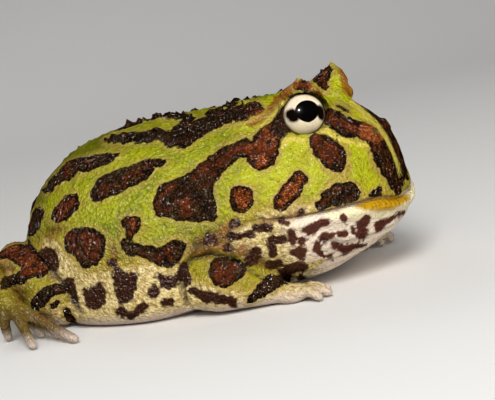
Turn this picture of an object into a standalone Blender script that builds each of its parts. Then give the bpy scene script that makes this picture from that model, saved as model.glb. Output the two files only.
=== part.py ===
"""A life-size Argentine horned frog, sitting, as a museum model.

The frog faces +X, its left side is +Y and the floor is at Z = 0. The tables below are in
millimetres, for a frog of 110 mm from snout to vent. The whole animal is shaped first, then
parted into its named pieces with cuts 0.3 mm wide, scaled to metres and set with the middle
of its footprint on the origin.
"""

import math
import random

import bmesh
import bpy
import numpy as np
from mathutils import Matrix, Vector

METRES_PER_MM = 0.001
GAP = 0.3  # between neighbouring pieces
SIDES = {"right": -1, "left": 1}

# The trunk and head in one row of cross-sections from vent to snout: place along the frog,
# half width, top, bottom, height of the widest line, and how square the upper and lower halves are.
TRUNK = (
    (-58.5, 4.0, 21.5, 12.0, 16.5, 2.0, 2.0),
    (-57.3, 13.0, 28.5, 5.5, 16.5, 2.0, 2.4),
    (-52.0, 25.0, 37.0, 0.5, 15.5, 2.0, 3.4),
    (-41.0, 35.5, 44.5, -1.0, 14.5, 2.1, 5.0),
    (-27.0, 41.5, 48.5, -1.2, 14.0, 2.15, 7.0),
    (-10.0, 43.0, 49.7, -1.2, 14.5, 2.1, 6.5),
    (3.0, 39.8, 50.2, -1.0, 16.5, 2.05, 4.0),
    (14.0, 34.8, 51.2, -0.6, 18.5, 2.0, 3.0),
    (23.0, 31.2, 51.8, 0.2, 20.0, 1.95, 2.5),
    (32.0, 28.6, 50.4, 1.8, 20.5, 1.95, 2.3),
    (41.0, 24.2, 47.0, 6.0, 20.8, 2.05, 2.1),
    (47.5, 18.4, 42.4, 9.6, 21.0, 2.15, 2.0),
    (52.0, 11.4, 36.6, 12.8, 21.0, 2.25, 2.0),
    (54.0, 5.0, 29.4, 15.6, 21.0, 2.0, 2.0),
)
RING_POINTS = 56
RINGS_PER_SPAN = 6

# The line of the mouth: its height, and where it rises or dips (place along the frog, reach, rise).
MOUTH_HEIGHT = 22.3
MOUTH_WAVES = ((24.0, 5.0, 1.0), (55.4, 2.8, -2.8))
NECK = 24.0  # where the jaws hinge, along the frog
NECK_LEAN = 0.12

EYE = Vector((33.8, 10.5, 45.9))
EYE_RADIUS = 5.9
EYE_AXIS = Vector((0.46, 0.86, 0.20)).normalized()
LID_RADIUS = 0.9
LID_OPENING = 5.35  # from the eye's axis to the middle of the lid's rim
ORBIT_RADIUS = 7.2
ORBIT_DEPTH = 1.9  # how far the middle of the swelling round the eye lies behind the eye's own

HORN_BASE = Vector((33.4, 10.2, 49.8))
HORN_TIP = {"right": Vector((34.9, 12.0, 54.9)), "left": Vector((36.2, 11.6, 56.8))}
HORN_LENGTH = 6.0  # half its length at the base, along the frog
HORN_THICKNESS = 3.3
# Along the horn: share of its length, share of its thickness, how far it is set forward.
HORN_ROWS = (
    (-0.5, 1.0, 1.0, 0.0),
    (0.0, 1.0, 0.94, 0.0),
    (0.3, 0.95, 0.72, -0.6),
    (0.6, 0.62, 0.48, 0.0),
    (0.85, 0.27, 0.26, 0.3),
    (1.0, 0.1, 0.12, 0.0),
)

NOSTRIL = Vector((50.6, 5.3, 38.6))
NOSTRIL_AXIS = Vector((0.80, 0.28, 0.53)).normalized()
NOSTRIL_PIT = (0.95, 0.7, 0.95)

# Each limb is a row of places and radii, written for the left side.
UPPER_ARM = (((13, 20, 16), 7.5), ((9.5, 27.5, 12), 7.5), ((7.5, 31.5, 9), 7.2))
FOREARM = (
    ((7.0, 32.6, 8.0), 7.3),
    ((12.5, 33.2, 7.6), 7.4),
    ((18.0, 31.5, 5.8), 5.6),
    ((24.0, 29.0, 3.6), 3.6),
)
THIGH = (
    ((-51.0, 10.0, 15.0), 7.6),
    ((-50.0, 19.0, 13.0), 8.6),
    ((-44.5, 28.5, 10.0), 8.4),
    ((-37.0, 34.0, 8.0), 7.2),
)
SHANK = (
    ((-37.0, 35.2, 7.4), 7.0),
    ((-43.0, 34.0, 10.0), 6.9),
    ((-49.0, 31.0, 14.0), 6.5),
    ((-54.5, 27.5, 18.0), 5.6),
)
TARSUS = (
    ((-56.0, 28.5, 17.0), 5.0),
    ((-56.8, 35.0, 16.0), 4.4),
    ((-53.5, 41.5, 14.0), 3.9),
    ((-48.0, 46.0, 11.8), 3.3),
)

WRIST = {"right": Vector((24.0, -28.6, 3.0)), "left": Vector((24.0, 29.6, 3.0))}
HAND_HEADING = {"right": 14.0, "left": 12.0}  # degrees from straight ahead, towards the midline
FINGERS = ((46, 6.5), (20, 7.6), (-6, 7.8), (-30, 7.0))  # spread angle, length
FINGER_RADIUS = 1.45
PALM = (5.0, 4.4, 2.6)

# The instep stands clear of the floor and the toes hang from it: middle and tip of each.
INSTEP = Vector((-46.8, 46.2, 11.2))
INSTEP_RADII = (4.0, 3.6, 2.8)
TOES = (
    ((-42.5, 45.8, 6.0), (-38.5, 46.0, 1.3)),
    ((-38.5, 47.0, 5.2), (-31.5, 48.2, 1.3)),
    ((-36.0, 48.8, 5.6), (-24.0, 52.6, 1.3)),
    ((-41.0, 51.2, 7.2), (-35.2, 56.0, 1.3)),
    ((-47.4, 49.2, 6.6), (-49.0, 46.8, 1.3)),
)
TOE_RADIUS = 1.5

# The plane that parts the hand from the arm: a point, and a normal towards the fingers.
WRIST_CUT = (Vector((23.0, 29.3, 4.0)), Vector((0.90, -0.36, -0.24)).normalized())

TUBERCLES = 46
TUBERCLE_RADIUS = 1.2
TUBERCLE_HEIGHT = 0.75
SEED = 7

TRUNK_TRIANGLES = 6500
ARM_TRIANGLES = 1150
LEG_TRIANGLES = 700
FOOT_TRIANGLES = 850

COLOURS = {
    "green": (0.36, 0.46, 0.04, 1.0),
    "cream": (0.62, 0.53, 0.33, 1.0),
    "brown": (0.09, 0.035, 0.018, 1.0),
    "eye": (0.75, 0.70, 0.50, 1.0),
}


def clear_scene():
    for obj in list(bpy.data.objects):
        bpy.data.objects.remove(obj, do_unlink=True)


def skin_material(name, roughness=0.4):
    material = bpy.data.materials.new(name)
    material.use_nodes = True
    shader = material.node_tree.nodes["Principled BSDF"]
    shader.inputs["Base Color"].default_value = COLOURS[name]
    shader.inputs["Roughness"].default_value = roughness
    shader.inputs["Metallic"].default_value = 0.0
    return material


def mesh_object(name, bm):
    bmesh.ops.recalc_face_normals(bm, faces=bm.faces)
    mesh = bpy.data.meshes.new(name)
    bm.to_mesh(mesh)
    bm.free()
    obj = bpy.data.objects.new(name, mesh)
    bpy.context.scene.collection.objects.link(obj)
    return obj


def remove(*objects):
    for obj in objects:
        bpy.data.objects.remove(obj, do_unlink=True)


def with_modifier(obj, kind, **settings):
    """Applies one modifier to obj."""
    modifier = obj.modifiers.new(kind.title(), kind)
    for key, value in settings.items():
        setattr(modifier, key, value)
    bpy.context.view_layer.update()
    graph = bpy.context.evaluated_depsgraph_get()
    made = bpy.data.meshes.new_from_object(obj.evaluated_get(graph))
    obj.modifiers.clear()
    obj.data = made
    return obj


def points_of(obj):
    points = np.empty(len(obj.data.vertices) * 3, np.float32)
    obj.data.vertices.foreach_get("co", points)
    return points.reshape(-1, 3).astype(float)


def normals_of(obj):
    normals = np.empty(len(obj.data.vertices) * 3, np.float32)
    obj.data.vertices.foreach_get("normal", normals)
    return normals.reshape(-1, 3).astype(float)


def set_points(obj, points):
    obj.data.vertices.foreach_set("co", points.astype(np.float32).ravel())
    obj.data.update()


def through(rows, steps):
    """A smooth curve through rows of numbers, with this many steps between neighbours."""
    rows = np.array(rows, float)
    ends = np.vstack([2 * rows[0] - rows[1], rows, 2 * rows[-1] - rows[-2]])
    out = []
    for before, start, end, after in zip(ends, ends[1:], ends[2:], ends[3:]):
        for t in np.arange(steps) / steps:
            out.append(
                start
                + 0.5 * t * (end - before)
                + t * t * (before - 2.5 * start + 2 * end - 0.5 * after)
                + t * t * t * (1.5 * (start - end) + 0.5 * (after - before))
            )
    out.append(rows[-1])
    return np.array(out)


def loft(name, rings):
    """A closed skin over a row of rings, each a list of points, with flat ends."""
    bm = bmesh.new()
    loops = [[bm.verts.new(point) for point in ring] for ring in rings]
    for one, two in zip(loops, loops[1:]):
        for i in range(len(one)):
            j = (i + 1) % len(one)
            bm.faces.new((one[i], one[j], two[j], two[i]))
    bm.faces.new(loops[0])
    bm.faces.new(loops[-1])
    return mesh_object(name, bm)


def superellipse(angle, squareness):
    c, s = math.cos(angle), math.sin(angle)
    power = 2 / squareness
    return math.copysign(abs(c) ** power, c), math.copysign(abs(s) ** power, s)


def trunk_ring(row):
    x, half_width, top, bottom, widest, over_square, under_square = row
    ring = []
    for i in range(RING_POINTS):
        angle = 2 * math.pi * i / RING_POINTS
        upper = angle < math.pi
        y, z = superellipse(angle, over_square if upper else under_square)
        ring.append((x, half_width * y, widest + z * (top - widest if upper else widest - bottom)))
    return ring


def tube(name, places, sides=18):
    """A round-ended limb along a smooth line, from (place, radius) pairs."""
    rows = through([(*place, radius) for place, radius in places], 5)
    centres = [Vector(row[:3]) for row in rows]
    radii = [row[3] for row in rows]
    first = (centres[1] - centres[0]).normalized()
    last = (centres[-1] - centres[-2]).normalized()
    stations = []
    for a in (0.25, 0.6, 1.0, 1.35):
        stations.append((centres[0] - first * radii[0] * math.cos(a), radii[0] * math.sin(a), first))
    for i, centre in enumerate(centres):
        ahead = centres[min(i + 1, len(centres) - 1)] - centres[max(i - 1, 0)]
        stations.append((centre, radii[i], ahead.normalized()))
    for a in (1.35, 1.0, 0.6, 0.25):
        stations.append((centres[-1] + last * radii[-1] * math.cos(a), radii[-1] * math.sin(a), last))
    rings = []
    for centre, radius, ahead in stations:
        side = ahead.cross(Vector((0, 0, 1))).normalized()
        up = side.cross(ahead)
        angles = [2 * math.pi * i / sides for i in range(sides)]
        rings.append([centre + (side * math.cos(a) + up * math.sin(a)) * radius for a in angles])
    return loft(name, rings)


def ellipsoid(name, centre, radii, segments=24, turn=0.0):
    bm = bmesh.new()
    bmesh.ops.create_uvsphere(bm, u_segments=segments, v_segments=segments // 2, radius=1.0)
    bm.transform(Matrix.Translation(centre) @ Matrix.Rotation(turn, 4, "Z") @ Matrix.Diagonal((*radii, 1)))
    return mesh_object(name, bm)


def joined(name, pieces):
    """One object from several that may cross one another."""
    bm = bmesh.new()
    for piece in pieces:
        bm.from_mesh(piece.data)
    remove(*pieces)
    return mesh_object(name, bm)


def blended(obj, voxel, smoothing):
    """One skin over crossing shapes, with the creases between them softened."""
    with_modifier(obj, "REMESH", mode="VOXEL", voxel_size=voxel)
    return with_modifier(obj, "SMOOTH", factor=0.5, iterations=smoothing)


def push(points, centre, reach, move):
    """Moves what lies near centre, fading smoothly with distance."""
    away = (points - np.array(centre)) / np.array(reach, float)
    points += np.exp(-(away * away).sum(1))[:, None] * np.array(move, float)


def push_both(points, centre, reach, move):
    for side in SIDES.values():
        x, y, z = centre
        a, b, c = move
        push(points, (x, side * y, z), reach, (a, side * b, c))


def mirrored(vector, side):
    return Vector((vector[0], side * vector[1], vector[2]))


def mirrored_row(row, side):
    return [(mirrored(place, side), radius) for place, radius in row]


def lid_rim(side):
    """The thick edge of the eyelids, a ring round the eye."""
    axis = mirrored(EYE_AXIS, side)
    depth = math.sqrt((EYE_RADIUS + 0.2) ** 2 - LID_OPENING**2)
    centre = mirrored(EYE, side) + axis * depth
    turn = axis.to_track_quat("Z", "Y").to_matrix()
    steps, sides = 32, 10
    bm = bmesh.new()
    loops = []
    for i in range(steps):
        around = 2 * math.pi * i / steps
        spoke = turn @ Vector((math.cos(around), math.sin(around), 0))
        middle = centre + spoke * LID_OPENING
        angles = [2 * math.pi * j / sides for j in range(sides)]
        ring = [middle + (spoke * math.cos(a) + axis * math.sin(a)) * LID_RADIUS for a in angles]
        loops.append([bm.verts.new(point) for point in ring])
    for i, one in enumerate(loops):
        two = loops[(i + 1) % steps]
        for j in range(sides):
            k = (j + 1) % sides
            bm.faces.new((one[j], one[k], two[k], two[j]))
    return mesh_object("lid_rim", bm)


def mouth_height(x):
    waves = [rise * np.exp(-(((x - place) / reach) ** 2)) for place, reach, rise in MOUTH_WAVES]
    return MOUTH_HEIGHT + sum(waves)


def sculpted_trunk():
    """The whole head and trunk as one skin, before it is parted."""
    stations = through(TRUNK, RINGS_PER_SPAN)
    pieces = [loft("trunk", [trunk_ring(row) for row in stations])]
    for side in SIDES.values():
        eye_centre = mirrored(EYE, side)
        orbit = eye_centre - mirrored(EYE_AXIS, side) * ORBIT_DEPTH
        pieces.append(ellipsoid("brow", eye_centre + Vector((-1.5, -side * 1.5, -0.6)), (7.2, 5.0, 6.8)))
        pieces.append(ellipsoid("orbit", orbit, (ORBIT_RADIUS,) * 3))
        pieces.append(lid_rim(side))
    trunk = blended(joined("trunk", pieces), 0.9, 6)
    points = points_of(trunk)
    push(points, (34, 0, 50), (10, 4.5, 6), (0, 0, -1.8))  # the hollow between the eyes
    push_both(points, (43, 13, 34), (5, 4, 6), (-0.6, -1.6, 0.2))  # the hollow before each eye
    push_both(points, NOSTRIL, (2.4, 2.2, 2.0), (0.5, 0.2, 0.9))  # the swelling round each nostril
    push_both(points, (22, 27, 30), (8, 6, 8), (0, 1.4, 0.6))  # the jaw muscle
    push_both(points, (26, 13, 44), (5, 6, 5), (0, 0.4, -1.2))  # the hollow behind each eye
    push(points, (8, 0, 49), (14, 6, 8), (0, 0, -1.0))  # the furrow down the back
    add_lips(points)
    set_points(trunk, points)
    return trunk


def add_lips(points):
    """A full lip on each side of the mouth, and the shallow crease between them."""
    x, y, z = points.T
    above = z - mouth_height(x)
    fade = 1 / (1 + np.exp(-(x - NECK - 4) / 1.5))
    outward = np.stack([np.maximum(x - 34, 0), y, np.zeros_like(y)], 1)
    outward /= np.linalg.norm(outward, axis=1)[:, None] + 1e-9
    lower_lip = 1.3 * np.exp(-(((above + 2.2) / 1.9) ** 2))
    upper_lip = 0.5 * np.exp(-(((above - 1.8) / 1.5) ** 2))
    crease = -0.7 * np.exp(-((above / 0.8) ** 2))
    points += outward * ((lower_lip + upper_lip + crease) * fade)[:, None]


def swollen(obj, by):
    """A copy of obj with its skin moved out by this much, to cut its neighbours with."""
    copy = obj.copy()
    copy.data = obj.data.copy()
    bpy.context.scene.collection.objects.link(copy)
    set_points(copy, points_of(copy) + normals_of(copy) * by)
    return copy


def largest_body(obj):
    """Keeps the largest closed surface of obj."""
    bm = bmesh.new()
    bm.from_mesh(obj.data)
    bmesh.ops.triangulate(bm, faces=bm.faces)
    bodies = []
    left = set(bm.verts)
    while left:
        stack = [left.pop()]
        body = set(stack)
        while stack:
            for edge in stack.pop().link_edges:
                for vert in edge.verts:
                    if vert in left:
                        left.discard(vert)
                        body.add(vert)
                        stack.append(vert)
        bodies.append(body)
    keep = max(bodies, key=len)
    bmesh.ops.delete(bm, geom=[vert for vert in bm.verts if vert not in keep], context="VERTS")
    bm.to_mesh(obj.data)
    bm.free()
    return obj


def cut_by(obj, *cutters):
    for cutter in cutters:
        with_modifier(obj, "BOOLEAN", object=cutter, operation="DIFFERENCE", solver="EXACT")
    return largest_body(obj)


def half(obj, name, point, normal):
    """A copy of the part of obj that lies on the side the normal points to."""
    bm = bmesh.new()
    bm.from_mesh(obj.data)
    geometry = bm.verts[:] + bm.edges[:] + bm.faces[:]
    cut = bmesh.ops.bisect_plane(
        bm, geom=geometry, plane_co=point, plane_no=normal, clear_inner=True, dist=1e-4
    )
    rim = [edge for edge in cut["geom_cut"] if isinstance(edge, bmesh.types.BMEdge)]
    bmesh.ops.triangle_fill(bm, edges=rim, use_beauty=True)
    return largest_body(mesh_object(name, bm))


def parted(obj, names, plane, side=1):
    """Two pieces of obj, behind the plane and before it, a gap apart."""
    point, normal = mirrored(plane[0], side), mirrored(plane[1], side)
    behind = half(obj, names[0], point - normal * GAP / 2, -normal)
    before = half(obj, names[1], point + normal * GAP / 2, normal)
    remove(obj)
    return behind, before


def decimated(obj, triangles):
    with_modifier(obj, "TRIANGULATE")
    ratio = triangles / max(1, len(obj.data.polygons))
    return with_modifier(obj, "DECIMATE", ratio=min(1.0, ratio))


def on_floor(obj):
    """Flattens what presses on the floor."""
    flat = half(obj, obj.name + "_flat", (0, 0, 0), (0, 0, 1))
    name = obj.name
    remove(obj)
    flat.name = name
    return flat


def straightened(obj, way):
    """Moves obj up or down so that the line of the mouth becomes level (-1), or back again (1)."""
    points = points_of(obj)
    points[:, 2] += way * (mouth_height(points[:, 0]) - MOUTH_HEIGHT)
    set_points(obj, points)
    return obj


def parted_trunk(trunk):
    """The torso, head and lower jaw."""
    neck = (Vector((NECK, 0, MOUTH_HEIGHT)), Vector((1, 0, NECK_LEAN)).normalized())
    torso, front = parted(trunk, ("torso", "front"), neck)
    mouth = (Vector((NECK, 0, MOUTH_HEIGHT)), Vector((0, 0, 1)))
    jaw, head = parted(straightened(front, -1), ("lower_jaw", "head"), mouth)
    return {"torso": torso, "head": straightened(head, 1), "lower_jaw": straightened(jaw, 1)}


def hand_shapes(side_name):
    side = SIDES[side_name]
    wrist = WRIST[side_name]
    heading = math.radians(HAND_HEADING[side_name])
    forward = Vector((math.cos(heading), -side * math.sin(heading), 0))
    palm = wrist + forward * 4.4 + Vector((0, 0, -0.9))
    pieces = [ellipsoid("palm", palm, PALM, turn=-side * heading)]
    for spread, length in FINGERS:
        angle = heading + math.radians(spread)
        ahead = Vector((math.cos(angle), -side * math.sin(angle), 0))
        root = palm + ahead * 2.2
        tip = root + ahead * length
        knuckle = root.lerp(tip, 0.55) + Vector((0, 0, 0.5))
        tip.z = FINGER_RADIUS - 0.3
        places = ((root, FINGER_RADIUS * 1.25), (knuckle, FINGER_RADIUS), (tip, FINGER_RADIUS * 0.85))
        pieces.append(tube("finger", places, sides=12))
    return pieces


def arm(side_name):
    """The whole arm as one skin, parted at the wrist."""
    side = SIDES[side_name]
    pieces = [tube("limb", mirrored_row(row, side)) for row in (UPPER_ARM, FOREARM)]
    whole = blended(joined("arm", pieces + hand_shapes(side_name)), 0.6, 4)
    whole = on_floor(decimated(whole, ARM_TRIANGLES))
    return parted(whole, ("arm_" + side_name, "hand_" + side_name), WRIST_CUT, side)


def leg(side_name):
    """The folded thigh and shank as one skin."""
    side = SIDES[side_name]
    pieces = [tube("limb", mirrored_row(row, side)) for row in (THIGH, SHANK)]
    whole = blended(joined("leg_" + side_name, pieces), 0.8, 4)
    return on_floor(decimated(whole, LEG_TRIANGLES))


def foot(side_name):
    """The heel, instep and toes, with the web between the toes."""
    side = SIDES[side_name]
    instep = mirrored(INSTEP, side)
    pieces = [tube("tarsus", mirrored_row(TARSUS, side)), ellipsoid("instep", instep, INSTEP_RADII)]
    toes = []
    for middle, tip in TOES:
        middle, tip = mirrored(middle, side), mirrored(tip, side)
        root = instep.lerp(middle, 0.3)
        toes.append((root, middle))
        places = ((root, TOE_RADIUS * 1.35), (middle, TOE_RADIUS * 1.1), (tip, TOE_RADIUS * 0.88))
        pieces.append(tube("toe", places, sides=12))
    for one, two in zip(toes, toes[1:]):
        pieces.append(web(*one, *two))
    whole = blended(joined("foot_" + side_name, pieces), 0.55, 3)
    return on_floor(decimated(whole, FOOT_TRIANGLES))


def web(root, end, next_root, next_end):
    """The skin between two toes, as far as their middles."""
    bm = bmesh.new()
    corners = [root, end, next_end, next_root]
    normal = (end - root).cross(next_root - root).normalized() * 0.6
    under = [bm.verts.new(corner - normal) for corner in corners]
    over = [bm.verts.new(corner + normal) for corner in corners]
    bm.faces.new(under)
    bm.faces.new(over)
    for i in range(4):
        j = (i + 1) % 4
        bm.faces.new((under[i], under[j], over[j], over[i]))
    return mesh_object("web", bm)


def horn(side_name):
    """The upper eyelid drawn up to a fleshy point, longer along the frog than it is thick."""
    side = SIDES[side_name]
    base, tip = mirrored(HORN_BASE, side), mirrored(HORN_TIP[side_name], side)
    angles = [2 * math.pi * i / 14 for i in range(14)]
    rings = []
    for along, length_share, thickness_share, forward in HORN_ROWS:
        centre = base.lerp(tip, along) + Vector((forward, 0, 0))
        length, thickness = HORN_LENGTH * length_share, HORN_THICKNESS * thickness_share
        rings.append([centre + Vector((length * math.cos(a), thickness * math.sin(a), 0)) for a in angles])
    return loft("horn_" + side_name, rings)


def tubercle(place, normal, size):
    bm = bmesh.new()
    height = TUBERCLE_HEIGHT * size
    root = 1.0
    bmesh.ops.create_cone(
        bm,
        cap_ends=True,
        segments=6,
        radius1=TUBERCLE_RADIUS * size,
        radius2=TUBERCLE_RADIUS * 0.3 * size,
        depth=height + root,
    )
    turn = normal.to_track_quat("Z", "Y").to_matrix().to_4x4()
    bm.transform(Matrix.Translation(place + normal * (height - root) / 2) @ turn)
    return mesh_object("tubercle", bm)


def add_tubercles(torso):
    """Low cones scattered in two broken rows along the back."""
    rng = random.Random(SEED)
    group = bpy.data.collections.new("tubercles")
    for i in range(TUBERCLES):
        x = -44 + 60 * (i + rng.random()) / TUBERCLES
        y = rng.choice((-1, 1)) * rng.uniform(2.5, 15)
        hit, place, normal, _ = torso.ray_cast(Vector((x, y, 80)), Vector((0, 0, -1)))
        if hit:
            group.objects.link(tubercle(place, normal, rng.uniform(0.75, 1.15)))
    with_modifier(
        torso,
        "BOOLEAN",
        operand_type="COLLECTION",
        collection=group,
        operation="UNION",
        solver="EXACT",
    )
    remove(*group.objects)
    bpy.data.collections.remove(group)
    return largest_body(torso)


def eye(side_name):
    bm = bmesh.new()
    bmesh.ops.create_uvsphere(bm, u_segments=24, v_segments=12, radius=EYE_RADIUS)
    side = SIDES[side_name]
    turn = mirrored(EYE_AXIS, side).to_track_quat("Z", "Y").to_matrix().to_4x4()
    bm.transform(Matrix.Translation(mirrored(EYE, side)) @ turn)
    return mesh_object("eye_" + side_name, bm)


def cut_nostrils(head):
    for side in SIDES.values():
        axis = mirrored(NOSTRIL_AXIS, side)
        hit, place, _, _ = head.ray_cast(mirrored(NOSTRIL, side) + axis * 6, -axis)
        if hit:
            pit = ellipsoid("pit", place, NOSTRIL_PIT, segments=12)
            cut_by(head, pit)
            remove(pit)


def main():
    clear_scene()
    trunk = on_floor(decimated(sculpted_trunk(), TRUNK_TRIANGLES))
    swollen_trunk = swollen(trunk, GAP)
    pieces = parted_trunk(trunk)
    cut_nostrils(pieces["head"])
    for name in SIDES:
        pieces["eye_" + name] = eye(name)
        socket = swollen(pieces["eye_" + name], GAP)
        cut_by(pieces["head"], socket)
        pieces["horn_" + name] = cut_by(horn(name), swollen_trunk, socket)
        remove(socket)
        for piece in arm(name):
            pieces[piece.name] = cut_by(piece, swollen_trunk)
        instep = foot(name)
        around_foot = swollen(instep, GAP)
        pieces["leg_" + name] = cut_by(leg(name), swollen_trunk, around_foot)
        pieces[instep.name] = cut_by(instep, swollen_trunk)
        remove(around_foot)
    remove(swollen_trunk)
    add_tubercles(pieces["torso"])
    for name, piece in pieces.items():
        piece.name = name
        print(name, len(piece.data.polygons))
    finish(pieces)


def finish(pieces):
    """Scales the frog to metres and sets the middle of its footprint on the origin."""
    everything = np.vstack([points_of(piece) for piece in pieces.values()])
    low, high = everything.min(0), everything.max(0)
    middle = Vector(((low[0] + high[0]) / 2, (low[1] + high[1]) / 2, low[2]))
    materials = {name: skin_material(name) for name in COLOURS}
    for name, piece in pieces.items():
        piece.data.transform(Matrix.Scale(METRES_PER_MM, 4) @ Matrix.Translation(-middle))
        kind = "eye" if name.startswith("eye") else "cream" if name == "lower_jaw" else "green"
        piece.data.materials.clear()
        piece.data.materials.append(materials[kind])
        piece.data.shade_smooth()
    print("size", high - low)


main()
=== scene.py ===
# %% [markdown]
# # A life-size Argentine horned frog
#
# The frog sits on a pale floor, seen from in front of its right side. Its solids come ready from
# CAD: torso, head, jaw, horns, eyes, arms, hands, legs and feet. This script dresses them. One
# moist, warty skin covers all the flesh, and the eyes are pieces of their own. The frog faces +X,
# its left is +Y, and the lengths in the tables are millimetres.

# %% Set up
import math
import random

import bmesh
import bpy
import numpy as np
from mathutils import Matrix, Vector, noise
from mathutils.bvhtree import BVHTree
from mathutils.kdtree import KDTree

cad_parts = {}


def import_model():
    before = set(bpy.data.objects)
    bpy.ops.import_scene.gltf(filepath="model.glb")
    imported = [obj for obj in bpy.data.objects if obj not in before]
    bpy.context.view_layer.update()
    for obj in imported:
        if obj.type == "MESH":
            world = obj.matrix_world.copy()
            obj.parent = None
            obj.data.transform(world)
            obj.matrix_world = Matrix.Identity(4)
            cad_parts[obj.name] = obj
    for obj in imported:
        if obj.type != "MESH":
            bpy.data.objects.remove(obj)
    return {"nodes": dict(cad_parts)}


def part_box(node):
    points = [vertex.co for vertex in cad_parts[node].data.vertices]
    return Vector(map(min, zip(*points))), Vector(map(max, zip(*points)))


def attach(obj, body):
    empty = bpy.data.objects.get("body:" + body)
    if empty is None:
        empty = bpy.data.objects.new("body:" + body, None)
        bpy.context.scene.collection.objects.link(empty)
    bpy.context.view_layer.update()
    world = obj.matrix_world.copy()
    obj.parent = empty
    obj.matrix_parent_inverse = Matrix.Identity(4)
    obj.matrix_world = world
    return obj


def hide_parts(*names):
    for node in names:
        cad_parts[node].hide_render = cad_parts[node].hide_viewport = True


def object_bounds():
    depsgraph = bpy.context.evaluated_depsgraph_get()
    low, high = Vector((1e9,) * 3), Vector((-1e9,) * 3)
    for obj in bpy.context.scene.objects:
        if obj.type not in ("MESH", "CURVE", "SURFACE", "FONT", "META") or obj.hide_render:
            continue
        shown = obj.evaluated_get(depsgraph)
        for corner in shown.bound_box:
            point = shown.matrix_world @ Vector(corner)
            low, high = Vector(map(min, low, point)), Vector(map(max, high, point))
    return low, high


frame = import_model()
cad_box = [list(corner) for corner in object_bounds()]
MM = 0.001
print("CAD nodes:", ", ".join(sorted(frame["nodes"])))

# %% [markdown]
# ## Places
#
# Every place below is counted from a point on the floor under the belly. World coordinates would
# all be wrong as soon as the frog moved, so one landmark, the centre of the right eye, is measured
# on the solids and ties the tables to them.

# %% Places
RIGHT_EYE = Vector((33.8, -10.5, 45.9))
low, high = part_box("eye_right")
right_eye_centre = (low + high) / 2


def world(place):
    return right_eye_centre + (Vector(place) - RIGHT_EYE) * MM


def in_tables(points):
    """World points as the tables' millimetres."""
    return (points - np.array(right_eye_centre)) / MM + np.array(RIGHT_EYE)


print("floor under the belly:", tuple(round(value, 4) for value in world((0, 0, 0))))

# %% [markdown]
# ## Camera
#
# A long lens looks slightly down at the frog from in front of its right side, and it leans, which
# puts the frog at the photograph's slant. Turning the frog instead would lift it off the floor, so
# the camera's own right and up are worked out, and its matrix is built from them. Positions in the
# frame are pixels of 495 x 400.

# %% Camera's directions
FRAME_WIDTH, FRAME_HEIGHT = 495, 400
AZIMUTH, ELEVATION, LEAN = math.radians(26.5), math.radians(9.9), math.radians(11.3)
to_camera = Vector(
    (
        math.sin(AZIMUTH) * math.cos(ELEVATION),
        -math.cos(AZIMUTH) * math.cos(ELEVATION),
        math.sin(ELEVATION),
    )
)
level_right = Vector((math.cos(AZIMUTH), math.sin(AZIMUTH), 0))
level_up = to_camera.cross(level_right)
frame_right = level_right * math.cos(LEAN) - level_up * math.sin(LEAN)
frame_up = level_right * math.sin(LEAN) + level_up * math.cos(LEAN)
print("from the frog to the camera:", tuple(round(value, 2) for value in to_camera))

# %% Camera
DISTANCE = 0.393
LENS, SENSOR = 100.0, 36.0
NEAREST_SEEN = 0.01
AIM = (0, 0, 22)  # the place in the frog that shows at the next pixel
AIM_PIXEL = (223.1, 205.6)

camera_place = world(AIM) + to_camera * DISTANCE
camera_data = bpy.data.cameras.new("camera")
camera_data.lens = LENS
camera_data.sensor_width = SENSOR
camera_data.clip_start = NEAREST_SEEN
camera_data.shift_x = (FRAME_WIDTH / 2 - AIM_PIXEL[0]) / FRAME_WIDTH
camera_data.shift_y = (AIM_PIXEL[1] - FRAME_HEIGHT / 2) / FRAME_WIDTH
camera = bpy.data.objects.new("camera", camera_data)
bpy.context.scene.collection.objects.link(camera)
turn = Matrix((frame_right, frame_up, to_camera)).transposed().to_4x4()
camera.matrix_world = Matrix.Translation(camera_place) @ turn
bpy.context.scene.camera = camera
print("camera at", tuple(round(value, 3) for value in camera_place))

# %% [markdown]
# ## From the frog to the frame and back
#
# The markings are read off the frame, so the script needs both ways: where a point of the frog
# shows, and the line of sight through a pixel. Blender's own camera helpers follow the render size,
# which is not the photograph's, so both are worked out here from the camera's directions.

# %% Frame positions
PIXELS = FRAME_WIDTH * LENS / SENSOR  # pixels for a slope of 1
PIXELS_PER_MM = PIXELS * MM / DISTANCE


def in_frame(points):
    """World points as frame pixels across and down, and nearness in pixels."""
    away = points - np.array(camera_place)
    depth = -away @ np.array(to_camera)
    across = AIM_PIXEL[0] + PIXELS * (away @ np.array(frame_right)) / depth
    down = AIM_PIXEL[1] - PIXELS * (away @ np.array(frame_up)) / depth
    return np.stack([across, down, (DISTANCE - depth) * PIXELS / DISTANCE], 1)


def sight_line(across, down):
    slope_right = (across - AIM_PIXEL[0]) / PIXELS
    slope_up = -(down - AIM_PIXEL[1]) / PIXELS
    return (-to_camera + frame_right * slope_right + frame_up * slope_up).normalized()


print("pixels for a millimetre:", round(PIXELS_PER_MM, 2))

# %% [markdown]
# ## One skin
#
# The real animal has one unbroken skin, and the solids are apart, with thin gaps. Boolean unions
# would keep every seam as a hard line. So each flesh solid is swollen a little, until neighbours
# meet, and a Remesh modifier wraps the whole in one even mesh of small squares.


# %% Objects and finished meshes
def object_of(name, mesh):
    obj = bpy.data.objects.new(name, mesh)
    bpy.context.scene.collection.objects.link(obj)
    return obj


def evaluated_mesh(obj):
    """The object's mesh with its modifiers applied."""
    bpy.context.view_layer.update()
    graph = bpy.context.evaluated_depsgraph_get()
    return bpy.data.meshes.new_from_object(obj.evaluated_get(graph))


# %% One skin
SWELLING = 0.25
SKIN_GRAIN = 0.62  # side of the even mesh's squares
SAME_POINT = 1e-6

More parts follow.
